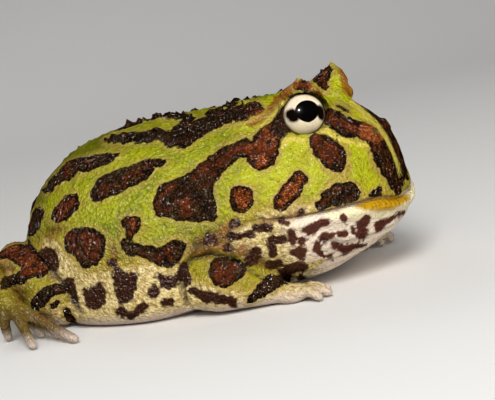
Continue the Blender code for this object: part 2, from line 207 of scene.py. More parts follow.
flesh_nodes = sorted(name for name in frame["nodes"] if not name.startswith("eye"))
gathered = bmesh.new()
for name in flesh_nodes:
    piece = bmesh.new()
    piece.from_mesh(frame["nodes"][name].data)
    bmesh.ops.remove_doubles(piece, verts=piece.verts, dist=SAME_POINT)
    piece.normal_update()
    for vert in piece.verts:
        vert.co += vert.normal * SWELLING * MM
    mesh = bpy.data.meshes.new(name)
    piece.to_mesh(mesh)
    piece.free()
    gathered.from_mesh(mesh)
    bpy.data.meshes.remove(mesh)
mesh = bpy.data.meshes.new("gathered")
gathered.to_mesh(mesh)
gathered.free()
wrapped = object_of("gathered", mesh)
remesh = wrapped.modifiers.new("wrap", "REMESH")
remesh.mode = "VOXEL"
remesh.voxel_size = SKIN_GRAIN * MM
skin_mesh = evaluated_mesh(wrapped)
bpy.data.objects.remove(wrapped, do_unlink=True)
skin_mesh.name = "skin"
print("skin:", len(skin_mesh.polygons), "faces")

# %% [markdown]
# ## Smooth away the facets
#
# The solids have flat faces, and skin has none. Plain smoothing shrinks thin parts such as fingers.
# Here each point goes half of the way to the mean of its neighbours, and in the next round a little
# more than that back, which rounds the facets and keeps the volume. Lids, hands, feet and horns
# are smoothed less than the body. Numpy arrays do this for all the points at once, because a
# Python loop over a hundred thousand points would take minutes.


# %% Points as arrays
def points_of(mesh):
    points = np.empty(len(mesh.vertices) * 3, np.float32)
    mesh.vertices.foreach_get("co", points)
    return points.reshape(-1, 3).astype(float)


def normals_of(mesh):
    normals = np.empty(len(mesh.vertices) * 3, np.float32)
    mesh.vertices.foreach_get("normal", normals)
    return normals.reshape(-1, 3).astype(float)


def edges_of(mesh):
    edges = np.empty(len(mesh.edges) * 2, np.int32)
    mesh.edges.foreach_get("vertices", edges)
    return edges.reshape(-1, 2)


def set_points(mesh, points):
    mesh.vertices.foreach_set("co", points.astype(np.float32).ravel())
    mesh.update()


# %% Smoothing helpers
SHRINK, SWELL = 0.5, -0.52  # shares of the way to the neighbours' mean, in turn


def relaxed(points, edges, weight, rounds):
    """Smooths points over the mesh without losing volume, by weight."""
    one, two = edges.T
    count = len(points)
    neighbours = np.bincount(one, minlength=count) + np.bincount(two, minlength=count)
    for i in range(2 * rounds):
        mean = np.empty_like(points)
        for axis in range(3):
            values = points[:, axis]
            total = np.bincount(one, values[two], count) + np.bincount(two, values[one], count)
            mean[:, axis] = total / neighbours
        points = points + (mean - points) * (weight * (SHRINK if i % 2 == 0 else SWELL))[:, None]
    return points


def smoothstep(low, high, values):
    """0 below low and 1 above high, with a soft slope; turned round where low is the higher."""
    t = np.clip((values - low) / (high - low), 0, 1)
    return t * t * (3 - 2 * t)


# %% Smooth away the facets
EYES = np.array([(RIGHT_EYE.x, side * -RIGHT_EYE.y, RIGHT_EYE.z) for side in (-1, 1)])
FIRM_NEAR_EYE = (6.5, 10.5)  # from the eye's centre: firm as the lids, and soft as the body
LID_SOFTNESS, LIMB_SOFTNESS, HORN_SOFTNESS = 0.1, 0.25, 0.12
HORN_ROOT = 50.5  # height where the horns rise from the upper lids
HORN_ROOT_FADE = 2.5
HAND_BACK, HAND_TOP, HAND_INSIDE = 22, 8.5, 14
FOOT_FRONT, FOOT_INSIDE = -20, 43.5
SMOOTHING_ROUNDS = 14


def distance_from_eyes(places):
    return np.min([np.linalg.norm(places - eye, axis=1) for eye in EYES], axis=0)


points = points_of(skin_mesh) - normals_of(skin_mesh) * SWELLING * MM
places = in_tables(points)
outward = np.abs(places[:, 1])
is_hand = (places[:, 0] > HAND_BACK) & (places[:, 2] < HAND_TOP) & (outward > HAND_INSIDE)
is_foot = (places[:, 0] < FOOT_FRONT) & (outward > FOOT_INSIDE)
body_share = smoothstep(*FIRM_NEAR_EYE, distance_from_eyes(places))
softness = body_share * (1 - LID_SOFTNESS) + LID_SOFTNESS
softness[is_hand | is_foot] = LIMB_SOFTNESS
below_horns = smoothstep(HORN_ROOT + HORN_ROOT_FADE, HORN_ROOT, places[:, 2])
softness = np.minimum(softness, HORN_SOFTNESS + (1 - HORN_SOFTNESS) * below_horns)
points = relaxed(points, edges_of(skin_mesh), softness, SMOOTHING_ROUNDS)
print("hand and foot points:", int((is_hand | is_foot).sum()), "of", len(points))

# %% [markdown]
# ## Horns
#
# A horn is the upper lid drawn up to a soft, leathery point. The solids are plain and blunt, and
# the real ones have a finer point and a fuller front edge. Sculpting by hand would lose its place
# if the solids changed, so points are moved by smooth weights that find each horn by its box.

# %% Horns
HORN_POINT = 3.0  # length of a horn's point, which is drawn finer than its solid
POINT_THINNING = 0.45
HORN_FRONT = (1.7, 48.8, 3.4)  # how far the front edge is filled out, at what height, and its reach
HORN_FRONT_START = (43.6, 46.4)
FRONT_FADE = 1.5
NEAR_HORN_RISE = 1.2
HORN_INSIDE, BROW_INSIDE = 5, 4  # how far out a horn and its lid begin
for name, side in (("horn_right", -1), ("horn_left", 1)):
    tip = in_tables(np.array([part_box(name)[1]]))[0][2]
    places = in_tables(points)
    horn = (places[:, 1] * side > HORN_INSIDE) & (places[:, 2] > tip - HORN_POINT)
    middle = places[horn][:, :2].mean(0)
    narrower = 1 - POINT_THINNING * smoothstep(tip - HORN_POINT, tip, places[:, 2])
    for axis in (0, 1):
        moved = middle[axis] + (places[:, axis] - middle[axis]) * narrower
        points[:, axis] += np.where(horn, moved - places[:, axis], 0) * MM
    on_side = places[:, 1] * side > BROW_INSIDE
    in_front = smoothstep(middle[0] - FRONT_FADE, middle[0] + FRONT_FADE, places[:, 0])
    most, height, reach = HORN_FRONT
    filled = np.exp(-(((places[:, 2] - height) / reach) ** 2))
    filled *= smoothstep(*HORN_FRONT_START, places[:, 2])
    points[:, 0] += most * filled * in_front * on_side * MM
    print(name, "tip", round(tip, 1), "middle", np.round(middle, 1))
risen = smoothstep(HORN_ROOT - 0.5, HORN_ROOT + HORN_ROOT_FADE, places[:, 2])
points[:, 2] += NEAR_HORN_RISE * (risen * (places[:, 1] < -BROW_INSIDE)) * MM
set_points(skin_mesh, points)

# %% [markdown]
# ## Thinner where it is flat
#
# An even mesh spends as many squares on the smooth belly as on a finger. The Decimate modifier
# merges them where the skin hardly bends, which leaves triangles to spare for the face.

# %% Thin the mesh
THINNING = 0.6  # share of the triangles kept, most of them where the skin curves
thinned = object_of("thinned", skin_mesh)
decimate = thinned.modifiers.new("thin", "DECIMATE")
decimate.ratio = THINNING
skin_mesh = evaluated_mesh(thinned)
bpy.data.objects.remove(thinned, do_unlink=True)
skin_mesh.name = "skin"
print("thinned skin:", len(skin_mesh.polygons), "triangles")

# %% [markdown]
# ## Finer mesh where the face needs it
#
# The crease of the mouth, the lids' edges and the nostrils are a few tenths of a millimetre wide,
# less than a triangle. A mesh that fine all over would have over a million of them, so only the
# edges near those places are halved, and along the lips and at the nostrils once more.

# %% The mouth's line and the nostrils
NECK = 24.0
MOUTH_BACK = NECK + 0.5
MOUTH_HEIGHT = 22.3
MOUTH_WAVES = ((24.0, 5.0, 1.0), (55.4, 2.8, -2.8))  # place along the jaw, reach and rise
NOSTRIL_IN_FRAME = (375, 131)


def ridge(distance, middle, width):
    """1 at the middle, fading to 0 on both sides."""
    return np.exp(-(((distance - middle) / width) ** 2))


def mouth_height(along):
    waves = [rise * ridge(along, place, reach) for place, reach, rise in MOUTH_WAVES]
    return MOUTH_HEIGHT + sum(waves)


def skin_tree(mesh):
    """The mesh as a tree that finds where a line meets it."""
    faces = [tuple(face.vertices) for face in mesh.polygons]
    return BVHTree.FromPolygons([tuple(point) for point in points_of(mesh)], faces)


found, _, _, _ = skin_tree(skin_mesh).ray_cast(camera_place, sight_line(*NOSTRIL_IN_FRAME))
nostril = in_tables(np.array([found]))[0]
print("nostril at", np.round(nostril, 1))


# %% Finer mesh at the face
FACE_BANDS = {"mouth": 2.2, "nostril": 2.6}  # millimetres from each within which edges are halved
LIP_BANDS = {"mouth": 0.8, "nostril": 1.6}  # and within which they are halved again
LID_BAND = (5.6, 8.0)  # millimetres from the eye's centre
CUT_SOFTNESS, CUT_ROUNDS = 0.6, 2


def near_nostril(places):
    mirrored = places * np.array((1, -1, 1))
    return np.minimum(
        np.linalg.norm(places - nostril, axis=1),
        np.linalg.norm(mirrored - nostril, axis=1),
    )


def in_bands(places, bands):
    """Which places lie near the mouth's line or a nostril."""
    above_mouth = places[:, 2] - mouth_height(places[:, 0])
    near_mouth = (np.abs(above_mouth) < bands["mouth"]) & (places[:, 0] > MOUTH_BACK)
    return near_mouth | (near_nostril(places) < bands["nostril"])


def cut_finer(mesh, chosen):
    """Halves the edges between chosen vertices."""
    fine = bmesh.new()
    fine.from_mesh(mesh)
    fine.verts.ensure_lookup_table()
    edges = [edge for edge in fine.edges if all(chosen[vert.index] for vert in edge.verts)]
    bmesh.ops.subdivide_edges(fine, edges=edges, cuts=1, use_grid_fill=True)
    bmesh.ops.triangulate(fine, faces=fine.faces)
    fine.to_mesh(mesh)
    fine.free()


places = in_tables(points_of(skin_mesh))
eye_distance = distance_from_eyes(places)
at_lids = (eye_distance > LID_BAND[0]) & (eye_distance < LID_BAND[1])
cut_finer(skin_mesh, in_bands(places, FACE_BANDS) | at_lids | (places[:, 2] > HORN_ROOT))
cut_finer(skin_mesh, in_bands(in_tables(points_of(skin_mesh)), LIP_BANDS))
points = points_of(skin_mesh)
softness = np.ones(len(points)) * CUT_SOFTNESS
set_points(skin_mesh, relaxed(points, edges_of(skin_mesh), softness, CUT_ROUNDS))
print("skin with a finer face:", len(skin_mesh.polygons), "triangles")

# %% [markdown]
# ## Reading places off the frame
#
# Blotches, folds and wrinkles are rows of discs in the frame, each (across, down, radius) in
# pixels. A painted image would be the usual way, but it smears where the skin turns away, and it
# has to be stored. Here each disc's centre is found on the skin along its line of sight, and every
# vertex gets its distance from the row. That distance is measured in space, with depth counted
# less, so a mark wraps round the body instead of showing through it.

# %% Distance from rows of discs
DEPTH_SHARE = 0.12  # of the depth, where the skin faces the camera
HIDDEN_DEPTH_SHARE = 0.5
FACING_FADE = (-0.1, 0.2)
FALLBACK_STEPS = ((0, 3), (0, 6), (-4, 4), (4, 4), (0, 10), (0, 14))  # where a line misses the skin
FAR_AWAY = 1e9
TINY = 1e-9


def anchor(tree, across, down):
    """The disc's centre on the skin, as frame pixels and nearness."""
    for step_right, step_down in ((0, 0),) + FALLBACK_STEPS:
        line = sight_line(across + step_right, down + step_down)
        place, _, _, _ = tree.ray_cast(camera_place, line)
        if place is not None:
            nearness = in_frame(np.array([place]))[0][2]
            return np.array((across, down, nearness))
    return np.array((across, down, 0.0))


def row_distance(spots, depth_share, tree, row):
    """Distance in pixels from each spot to a row of tapering discs, negative inside."""
    centres = [anchor(tree, across, down) for across, down, _ in row]
    radii = [radius for _, _, radius in row]
    nearest = np.full(len(spots), FAR_AWAY)
    for start, end, wide, narrow in zip(centres, centres[1:] or centres, radii, radii[1:] or radii):
        way = end - start
        along = way[:2]
        t = np.clip((spots[:, :2] - start[:2]) @ along / (along @ along + TINY), 0, 1)
        away = spots - (start + t[:, None] * way)
        away[:, 2] *= depth_share
        nearest = np.minimum(nearest, np.linalg.norm(away, axis=1) - (wide + t * (narrow - wide)))
    return nearest


def nearest_row(spots, depth_share, tree, rows):
    return np.min([row_distance(spots, depth_share, tree, row) for row in rows.values()], axis=0)


# %% Which way the skin faces
def seen_share(points, normals):
    """How far the skin turns towards the camera, from -1 to 1."""
    to_eye = np.array(camera_place) - points
    to_eye /= np.linalg.norm(to_eye, axis=1)[:, None]
    return (normals * to_eye).sum(1)


def depth_shares(facing):
    fade = smoothstep(*FACING_FADE, facing)
    return HIDDEN_DEPTH_SHARE + (DEPTH_SHARE - HIDDEN_DEPTH_SHARE) * fade


facing = seen_share(points_of(skin_mesh), normals_of(skin_mesh))
print("share of the skin that faces the camera:", round(float((facing > 0).mean()), 2))

# %% [markdown]
# ## Eyelids
#
# The lids are a thin, dark ring that grips the eye and leaves nearly its whole front bare, which
# gives the frog its stare. On the solids they close farther over the ball. A hole cut with a
# Boolean would have a hard rim, so the points near each eye slide back round it instead: the angle
# from the eye's axis grows from the inner edge outwards, and the lids get thinner as they go.

# %% Eyelids
EYE_AXIS = Vector((0.46, 0.86, 0.20)).normalized()
LID_INNER_ANGLE = 46.0  # from the eye's axis to the lids' edge, on the solids
LID_OPEN_ANGLE = 68.5  # and on the skin
LID_ROOT_ANGLE = 98.0
LID_FLATTENING = 0.55
FLATTENING_PACE = 1.4
LID_END = (8.5, 7.3)  # from the eye's centre, where the lids pass into the head
LID_TOP = (HORN_ROOT + 2.5, HORN_ROOT + 0.5)
RIM_RADIUS = 5.9  # from the eye's axis to the middle of the lids' thin edge
RIM_DEPTH = 2.0  # how far that edge lies in front of the eye's centre


def eye_frames():
    """Centre and axis of each eye."""
    for side in (-1, 1):
        eye = np.array((RIGHT_EYE.x, -side * RIGHT_EYE.y, RIGHT_EYE.z))
        yield eye, np.array((EYE_AXIS.x, side * EYE_AXIS.y, EYE_AXIS.z))


def rim_distance(places):
    """Distance in millimetres from the edge of the nearer eye's lids."""
    nearest = np.full(len(places), FAR_AWAY)
    for eye, axis in eye_frames():
        ahead = (places - eye) @ axis
        radius = np.linalg.norm(places - eye - ahead[:, None] * axis, axis=1)
        nearest = np.minimum(nearest, np.hypot(ahead - RIM_DEPTH, radius - RIM_RADIUS))
    return nearest


points = points_of(skin_mesh)
places = in_tables(points)
for eye, axis in eye_frames():
    away = places - eye
    reach = np.linalg.norm(away, axis=1) + TINY
    ahead = away @ axis
    spoke = away - ahead[:, None] * axis
    spoke /= np.linalg.norm(spoke, axis=1)[:, None] + TINY
    angle = np.degrees(np.arccos(np.clip(ahead / reach, -1, 1)))
    share = np.clip((angle - LID_INNER_ANGLE) / (LID_ROOT_ANGLE - LID_INNER_ANGLE), 0, 1)
    opened = np.radians(LID_OPEN_ANGLE + (LID_ROOT_ANGLE - LID_OPEN_ANGLE) * share)
    flatter = LID_FLATTENING * np.sin(np.pi * np.clip(share * FLATTENING_PACE, 0, 1))
    moved_away = axis * np.cos(opened)[:, None] + spoke * np.sin(opened)[:, None]
    moved = eye + (reach - flatter)[:, None] * moved_away
    near = (angle < LID_ROOT_ANGLE) & (reach < LID_END[0])
    weight = (smoothstep(*LID_END, reach) * near * smoothstep(*LID_TOP, places[:, 2]))[:, None]
    places = places * (1 - weight) + moved * weight
    print("lid points moved:", int((weight > 0).sum()))
points += (places - in_tables(points)) * MM
set_points(skin_mesh, points)

# %% [markdown]
# ## Lips and nostrils
#
# The mouth is shut, and shows as a line between two soft lips, fading towards its corners. A real
# slit would open the mesh and show its inside, so the skin is pressed in along the line and raised
# on both sides. The nostrils are small pits with a rim. Both are sums of ridges, by which each
# point moves along its normal.

# %% Lips and nostrils
CREASE_DEPTH, CREASE_WIDTH = 1.1, 0.32
CREASE_AT_CORNER = 0.4  # share of the depth at the mouth's corner
CREASE_GROWS = (28.0, 42.0)
MOUTH_FADE = 4.0
LIPS = ((0.4, 0.9, 0.7), (0.3, -1.8, 1.1))  # height, middle above the mouth's line, and width
NOSTRIL_RELIEF = ((-0.8, 0, 0.6), (0.35, 1.2, 0.6))  # the same, by distance from the nostril


def relief(distance, ridges):
    """The sum of ridges, each (height, middle, width)."""
    return sum(height * ridge(distance, middle, width) for height, middle, width in ridges)


points = points_of(skin_mesh)
normals = normals_of(skin_mesh)
places = in_tables(points)
above_mouth = places[:, 2] - mouth_height(places[:, 0])
in_front = smoothstep(MOUTH_BACK, MOUTH_BACK + MOUTH_FADE, places[:, 0])
depth = CREASE_AT_CORNER + (1 - CREASE_AT_CORNER) * smoothstep(*CREASE_GROWS, places[:, 0])
lip_move = -CREASE_DEPTH * depth * ridge(above_mouth, 0, CREASE_WIDTH)
for height, middle, width in LIPS:
    lip_move += height * ridge(above_mouth, middle, width)
points += normals * (lip_move * in_front * MM)[:, None]
pit = relief(near_nostril(in_tables(points)), NOSTRIL_RELIEF)
points += normals * (pit * MM)[:, None]
set_points(skin_mesh, points)
print("deepest crease and pit:", round(float(lip_move.min()), 2), round(float(pit.min()), 2))

# %% [markdown]
# ## Folds and wrinkles
#
# Loose skin folds over the arm and the thigh, and the throat and jaw are wrinkled. Their courses
# are rows of places in the frame, and a groove with a soft ridge beside it follows each, darkened
# by a line of painted shade. Only the side that the camera sees gets them, because a row read off
# the frame says nothing of the other.

# %% Folds and wrinkles
FOLDS = {
    "over the leg": ((30, 244, 0), (43, 262, 0), (63, 284, 0), (79, 311, 0)),
    "over the arm": (
        (184, 268, 0), (192, 259, 0), (210, 255, 0), (232, 259, 0), (262, 277, 0), (275, 283, 0),
    ),
    "behind the arm": ((184, 268, 0), (181, 285, 0), (188, 303, 0)),
}
WRINKLES = {
    "jaw": ((392, 226, 0), (370, 236, 0), (345, 243, 0), (322, 240, 0)),
    "throat": ((372, 243, 0), (350, 253, 0), (326, 262, 0)),
    "chest": ((340, 262, 0), (320, 270, 0), (296, 272, 0)),
    "shoulder": ((262, 219, 0), (250, 222, 0), (238, 230, 0)),
}
FOLD_DEPTH_SHARE = 0.5
FOLD_RELIEF = ((-1.5, 0, 0.65), (0.6, 2.0, 1.2))  # height, middle and width in millimetres
WRINKLE_RELIEF = ((-0.7, 0, 0.6), (0.35, 1.4, 0.8))
FOLD_SHADE_WIDTH, WRINKLE_SHADE_WIDTH = 0.7, 0.45  # width of the line of painted shade in each
WRINKLE_SHADE_STRENGTH = 0.6
SEEN_FADE = (-0.15, 0.15)
tree = skin_tree(skin_mesh)
normals = normals_of(skin_mesh)
points = points_of(skin_mesh)
spots = in_frame(points)
fold = nearest_row(spots, FOLD_DEPTH_SHARE, tree, FOLDS) / PIXELS_PER_MM
wrinkle = nearest_row(spots, FOLD_DEPTH_SHARE, tree, WRINKLES) / PIXELS_PER_MM
seen = smoothstep(*SEEN_FADE, seen_share(points, normals))
fold_move = relief(fold, FOLD_RELIEF) + relief(wrinkle, WRINKLE_RELIEF)
points += normals * (fold_move * seen * MM)[:, None]
set_points(skin_mesh, points)
# painted shade along the grooves
wrinkle_shade = WRINKLE_SHADE_STRENGTH * ridge(wrinkle, 0, WRINKLE_SHADE_WIDTH)
crease_shade = np.maximum(ridge(fold, 0, FOLD_SHADE_WIDTH), wrinkle_shade) * seen
print("folds and wrinkles:", len(FOLDS) + len(WRINKLES))

# %% [markdown]
# ## Dark blotches
#
# Rows of dark blotches with pale edges cover the back, the flanks and the head. Each is drawn as
# discs that run into each other, as one would lay a blotch with a round brush.

# %% Dark blotches
BLOTCHES = {
    "rump stripe": (
        (46, 191, 3), (57, 180, 7), (75, 168, 8.5), (94, 162, 6.5), (108, 158, 4.5),
        (119, 154.5, 2.5),
    ),
    "long oval": (
        (100, 193, 8.5), (108, 185, 11), (120, 181, 11.5), (137, 173.5, 10.5), (150, 166.5, 8),
        (165, 162, 1.8),
    ),
    "back band": (
        (107, 141.5, 2.5), (121.7, 138.5, 5), (140, 137.5, 6), (158, 135.5, 5.5), (172, 137, 6),
    ),
    "back stripe": (
        (170, 141, 7), (182, 139.5, 8.5), (200, 127.5, 8.5), (218, 119, 8), (235, 113.5, 8.5),
        (247, 112, 8.5), (256, 109, 7),
    ),
    "stripe top": ((210, 114, 5), (226, 107, 6), (243, 103, 4)),
    "nape": ((242, 98, 4), (253, 95, 3)),
    "far band": (
        (125, 123, 2), (140, 119.5, 2.8), (155, 117.5, 3.2), (172, 117, 3.5), (188, 116.5, 4),
    ),
    "band link": ((178, 129, 4), (191, 119, 4)),
    "shoulder": (
        (164, 206, 11.5), (172, 197, 15), (186, 195, 20), (197, 198, 18), (206, 208, 11.5),
    ),
    "shoulder foot": ((163, 208, 8), (188, 211, 10.5), (209, 213, 8.5)),
    "shoulder link": (
        (190, 190, 16), (202, 180, 13.5), (213, 168.5, 12), (224, 158, 10), (236, 150, 7.5),
        (248, 148, 9), (258, 153, 14),
    ),
    "temple": ((261, 155, 15), (266, 146, 14.5), (271, 135, 12), (277, 123, 9.5), (282, 112, 5)),
    "cheek": ((318, 141, 9), (326, 148.5, 12.5), (333, 156, 13), (337.5, 163, 9.5)),
    "jaw oval": ((299.5, 180, 8.3), (291, 191, 10), (280, 203.5, 8)),
    "lip oval": (
        (320, 205.5, 5.5), (328, 199, 9), (338, 194, 11.5), (349, 192.5, 10.5), (354, 194, 6.5),
    ),
    "neck spot": ((241, 196, 11), (241, 201, 12)),
    "lip spot": ((373, 195, 3.2), (378.5, 193.5, 5.2)),
    "snout": (
        (330, 117, 8.5), (347, 127, 10.5), (362, 130.5, 8.5), (372, 135, 8), (380, 151, 8.5),
        (388, 168, 9), (395, 181, 7), (397, 190, 5),
    ),
    "far snout": (
        (358, 102, 3), (371, 111.5, 3.5), (383, 121.5, 4.5), (391.5, 134, 5), (398, 149, 5),
        (403, 164, 4.5), (406, 177, 3),
    ),
    "brow mark": ((339, 106, 2), (348, 112, 1.8)),
    "far horn": ((327, 71, 5), (321, 79, 7.5), (325, 86, 4.5)),
    "near horn": ((301, 85, 6), (307, 87, 5)),
    "behind the eye": ((280, 109, 4), (283, 120, 5), (287, 131, 4)),
    "hip": ((71, 201, 8.5), (64, 211, 9), (58, 217, 6.5)),
    "rear": ((39, 213, 5.5), (33, 226, 7.5), (30, 233, 5)),
    "round flank": ((79, 243, 15), (91, 243, 15.5), (88, 252, 15.5), (86, 262, 8)),
    "flank knob": ((128, 222, 6.5), (134, 222, 7), (132, 230, 6.5), (130, 238, 3.5)),
    "flank crescent": (
        (124, 244, 4.5), (129, 249, 6.5), (138, 250, 6.5), (148, 252, 7), (157, 255, 8.5),
        (166, 256, 12), (173, 252, 11), (179, 245, 6),
    ),
    "arm": ((222, 267, 11), (224, 275, 13.5), (235, 270, 11)),
    "wrist": ((252, 299, 4), (262, 290, 8), (270, 284, 9), (286, 280, 5)),
    "shank band": ((14, 254, 8), (27, 258, 12), (40, 267, 10)),
    "shank band end": ((29, 270, 9), (21, 279, 6)),
    "shank foot": ((6, 283, 6), (14, 280, 5)),
    "knee band": ((36, 303, 6), (45, 295, 7), (57, 289, 5.5), (68, 290, 4)),
    "knee mark": ((53, 305, 3.5), (57, 302, 2.5)),
    "knee under": ((67, 313, 4.5), (73, 322, 4)),
}
print("dark blotches:", len(BLOTCHES))

# %% [markdown]
# ## Tints of the blotches
#
# Some blotches are olive brown and some glow orange brown. One number for each is enough, and a
# vertex takes the number of the nearest blotch.

# %% Tints of the blotches
PLAIN_TINT = 0.2
BLOTCH_TINTS = {  # 0 olive brown, 0.5 red brown, 1 orange brown
    "jaw oval": 0.95,
    "neck spot": 0.9,
    "temple": 0.8,
    "shoulder link": 0.4,
    "shoulder foot": 0.1,
    "round flank": 0.35,
    "shank band": 0.5,
    "shank band end": 0.5,
    "shank foot": 0.2,
    "knee band": 0.0,
    "knee under": 0.9,
    "cheek": 0.5,
    "arm": 0.5,
    "flank knob": 0.6,
    "hip": 0.45,
    "near horn": 0.5,
    "shoulder": 0.12,
    "long oval": 0.12,
    "back band": 0.0,
    "back stripe": 0.2,
    "far band": 0.0,
    "stripe top": 0.0,
    "lip oval": 0.25,
    "snout": 0.4,
    "behind the eye": 0.0,
    "wrist": 0.1,
}


def tint_of_nearest(spots, depth_share, tree, rows):
    """The tint of the nearest row at each spot."""
    distances = [row_distance(spots, depth_share, tree, row) for row in rows.values()]
    tints = np.array([BLOTCH_TINTS.get(name, PLAIN_TINT) for name in rows])
    return tints[np.argmin(distances, axis=0)]


print("tinted blotches:", len(BLOTCH_TINTS))

# %% [markdown]
# ## Soft spots and zones
#
# Soft brown spots lie on the pale flank, the throat and the jaw. The zones are wider: where the
# skin is cream, dusky or orange, where painted shade darkens the green and the leg, where painted
# light brightens the green, and where a blotch turns black. The pale lines run along the snout's
# ridge and round the eye, and the lower lip is white with a yellow front. All are rows of discs as
# well, so one function measures them all.

# %% Soft spots
SOFT_SPOTS = {
    "low flank": ((120, 277, 7.5), (123, 286, 10), (124, 295, 8.5)),
    "low flank lobe": ((124, 282, 6), (133, 279, 5.5)),
    "low rear": ((98, 284, 3.5), (97, 294, 8.5), (96, 302, 8)),
    "low rear lobe": ((86, 290, 2.5), (91, 297, 5)),
    "edge bar": ((69, 284, 6.5), (75, 297, 6.5)),
    "edge spot": ((48, 254, 7), (54, 265, 6)),
    "elbow bar": ((184, 264, 4.5), (186, 282, 4.5)),
    "belly a": ((120, 312, 5.5), (131, 315, 3), (143, 306, 5)),
    "belly b": ((153, 292.5, 6),),
    "belly c": ((158, 278, 5.5), (168, 284, 5.5), (178, 276, 3.5)),
    "belly d": ((165, 303, 4), (172, 302, 3)),
    "flank smudge": ((112, 261, 4.5),),
    "shoulder a": ((205, 242, 4), (212, 239, 6.5)),
    "shoulder b": ((227, 248, 5),),
    "shoulder c": ((232, 236, 4), (250, 235, 4.5)),
    "shoulder d": ((232, 222, 3.5), (237, 222, 3)),
    "forearm under": ((192, 291, 4), (212, 297.5, 5), (234, 303, 4)),
    "jaw a": ((327, 222.5, 3.2), (318, 224, 4.4), (311, 230, 5.8), (306, 230.5, 4)),
    "jaw b": ((344, 217.5, 3.6), (344, 221.5, 2.6)),
    "jaw c": ((365, 220, 4.2), (362, 224.5, 5), (364, 232.5, 4.4)),
    "jaw d": ((406, 212.5, 1.2), (395, 217, 2.2), (386, 221.5, 3), (379, 227.5, 4.8)),
    "throat a": ((344, 234, 2.6), (334, 236, 2), (323, 238, 3)),
    "throat b": ((333, 245, 2.5), (345, 250, 4.5), (352, 246, 3), (366, 245.5, 1.6)),
    "throat c": ((318, 243, 2.8), (317, 250, 3.2), (325, 256, 2.5), (331, 258, 2)),
    "throat d": ((352, 230, 2), (361, 238, 2)),
    "chest a": ((293, 250, 3.5), (300, 251, 6), (303, 259, 3)),
    "chest b": ((284, 239, 2.8), (272, 240, 4.6), (273, 253, 4.6)),
    "chest c": ((256, 254, 5), (249, 260, 5)),
    "chest d": ((270, 265, 4), (280, 264, 3.5)),
    "chest e": ((284, 273, 4), (296, 269, 5.5), (304, 267, 4)),
    "chest f": ((291, 233, 3), (294, 239, 3)),
    "chest g": ((302.5, 241.5, 3.4),),
    "chest h": ((303, 279, 5),),
    "chin corner a": ((256, 226, 4.6), (267, 227, 4.4)),
    "chin corner b": ((281, 222, 3), (287, 225, 4)),
    "lip smudge": ((300, 212, 4.2),),
    "hand spot": ((301, 281, 3), (307, 279, 2.5)),
}
print("soft spots:", len(SOFT_SPOTS))

# %% Pale, orange and dusky zones
PALE_ZONES = {
    "throat": (
        (240, 236, 14), (262, 240, 18), (300, 245, 26), (345, 236, 24), (385, 216, 12),
        (408, 203, 6),
    ),
    "chin": ((285, 266, 9), (312, 262, 14), (345, 250, 12)),
    "upper lip": ((262, 217, 5), (292, 211, 6), (322, 207, 4), (345, 206.5, 3), (368, 200, 1.5)),
    "low flank": (
        (48, 244, 7), (64, 268, 11), (90, 290, 18), (125, 290, 25), (165, 284, 22), (182, 300, 16),
    ),
    "belly edge": ((78, 308, 10), (110, 316, 12), (150, 312, 12)),
    "knee": ((54, 312, 10), (70, 320, 10)),
    "forearm": ((188, 292, 9), (214, 298, 11), (240, 301, 10)),
    "hand": ((285, 292, 8), (325, 289, 8)),
}
ORANGE_ZONES = {
    "far horn edge": ((340, 70, 1), (346, 80, 3.5), (350, 92, 2.5)),
    "near horn back": ((287, 93, 4), (293, 87, 3.5), (297, 82, 2.5)),
    "near horn front": ((312, 87, 3), (320, 93, 3)),
    "behind the horn": (
        (285, 92, 4.5), (278, 101, 3.8), (270, 110, 3.6), (260, 118, 3.2), (252, 124, 2.5),
    ),
    "nostril": ((367, 131, 6), (376, 134, 7.5)),
}
# dusky brown patches, and painted shade along the leg's fold, under the knee and on the leg
DUSK_AND_SHADE_ZONES = {
    "behind the arm": ((232, 224, 7), (224, 236, 10), (206, 246, 12), (188, 250, 8)),
    "above the arm": ((226, 250, 5), (244, 252, 7), (262, 262, 6)),
    "flank smear": ((113, 250, 4), (112, 262, 4)),
    "leg joint": ((22, 243, 3), (37, 254, 3), (50, 270, 3), (64, 288, 3), (78, 308, 4)),
    "thigh edge": ((2, 264, 8), (10, 250, 7), (20, 240, 4)),
    "shank": ((8, 272, 7), (16, 286, 7), (20, 300, 5)),
    "under the knee": ((40, 312, 4), (52, 320, 4), (62, 328, 4)),
    "hip speckle": ((52, 234, 5), (60, 228, 5), (68, 232, 3)),
    "lip corner": ((262, 222, 4), (285, 216, 3), (300, 212, 5)),
}
print("zones:", len(PALE_ZONES) + len(ORANGE_ZONES) + len(DUSK_AND_SHADE_ZONES))

# %% Painted shade and painted light on the green, black, and the lip
SHADE_ZONES = {  # where shade is painted on the green
    "thigh": ((4, 262, 10), (14, 246, 8), (24, 238, 5)),
    "rear": ((30, 200, 8), (50, 172, 8), (75, 152, 8), (105, 140, 6)),
    "leg": ((4, 300, 14), (24, 300, 12), (40, 312, 8)),
}
# where light is painted: the green turns brighter, and the halos stronger
LIT_ZONES = {
    "arm top": ((201, 263, 4), (210, 261, 4)),
    "before the elbow": ((248, 279, 4), (256, 272, 4)),
    "cheek": ((262, 184, 22), (300, 160, 24), (350, 170, 32), (386, 180, 16)),
    "brow": ((318, 92, 10), (345, 92, 14), (372, 120, 8)),
    "nape": ((240, 128, 8), (262, 118, 10), (276, 100, 8)),
}
BLACK_ZONES = {
    "behind the eye": ((284, 103, 4), (277, 114, 7), (276, 127, 9), (284, 132, 5)),
    "shoulder": ((165, 205, 4), (186, 182, 4), (209, 214, 4)),
    "back stripe": ((176, 141, 5), (206, 126, 5), (244, 116, 7)),
    "lip oval": ((337, 199, 4), (352, 190, 5)),
}
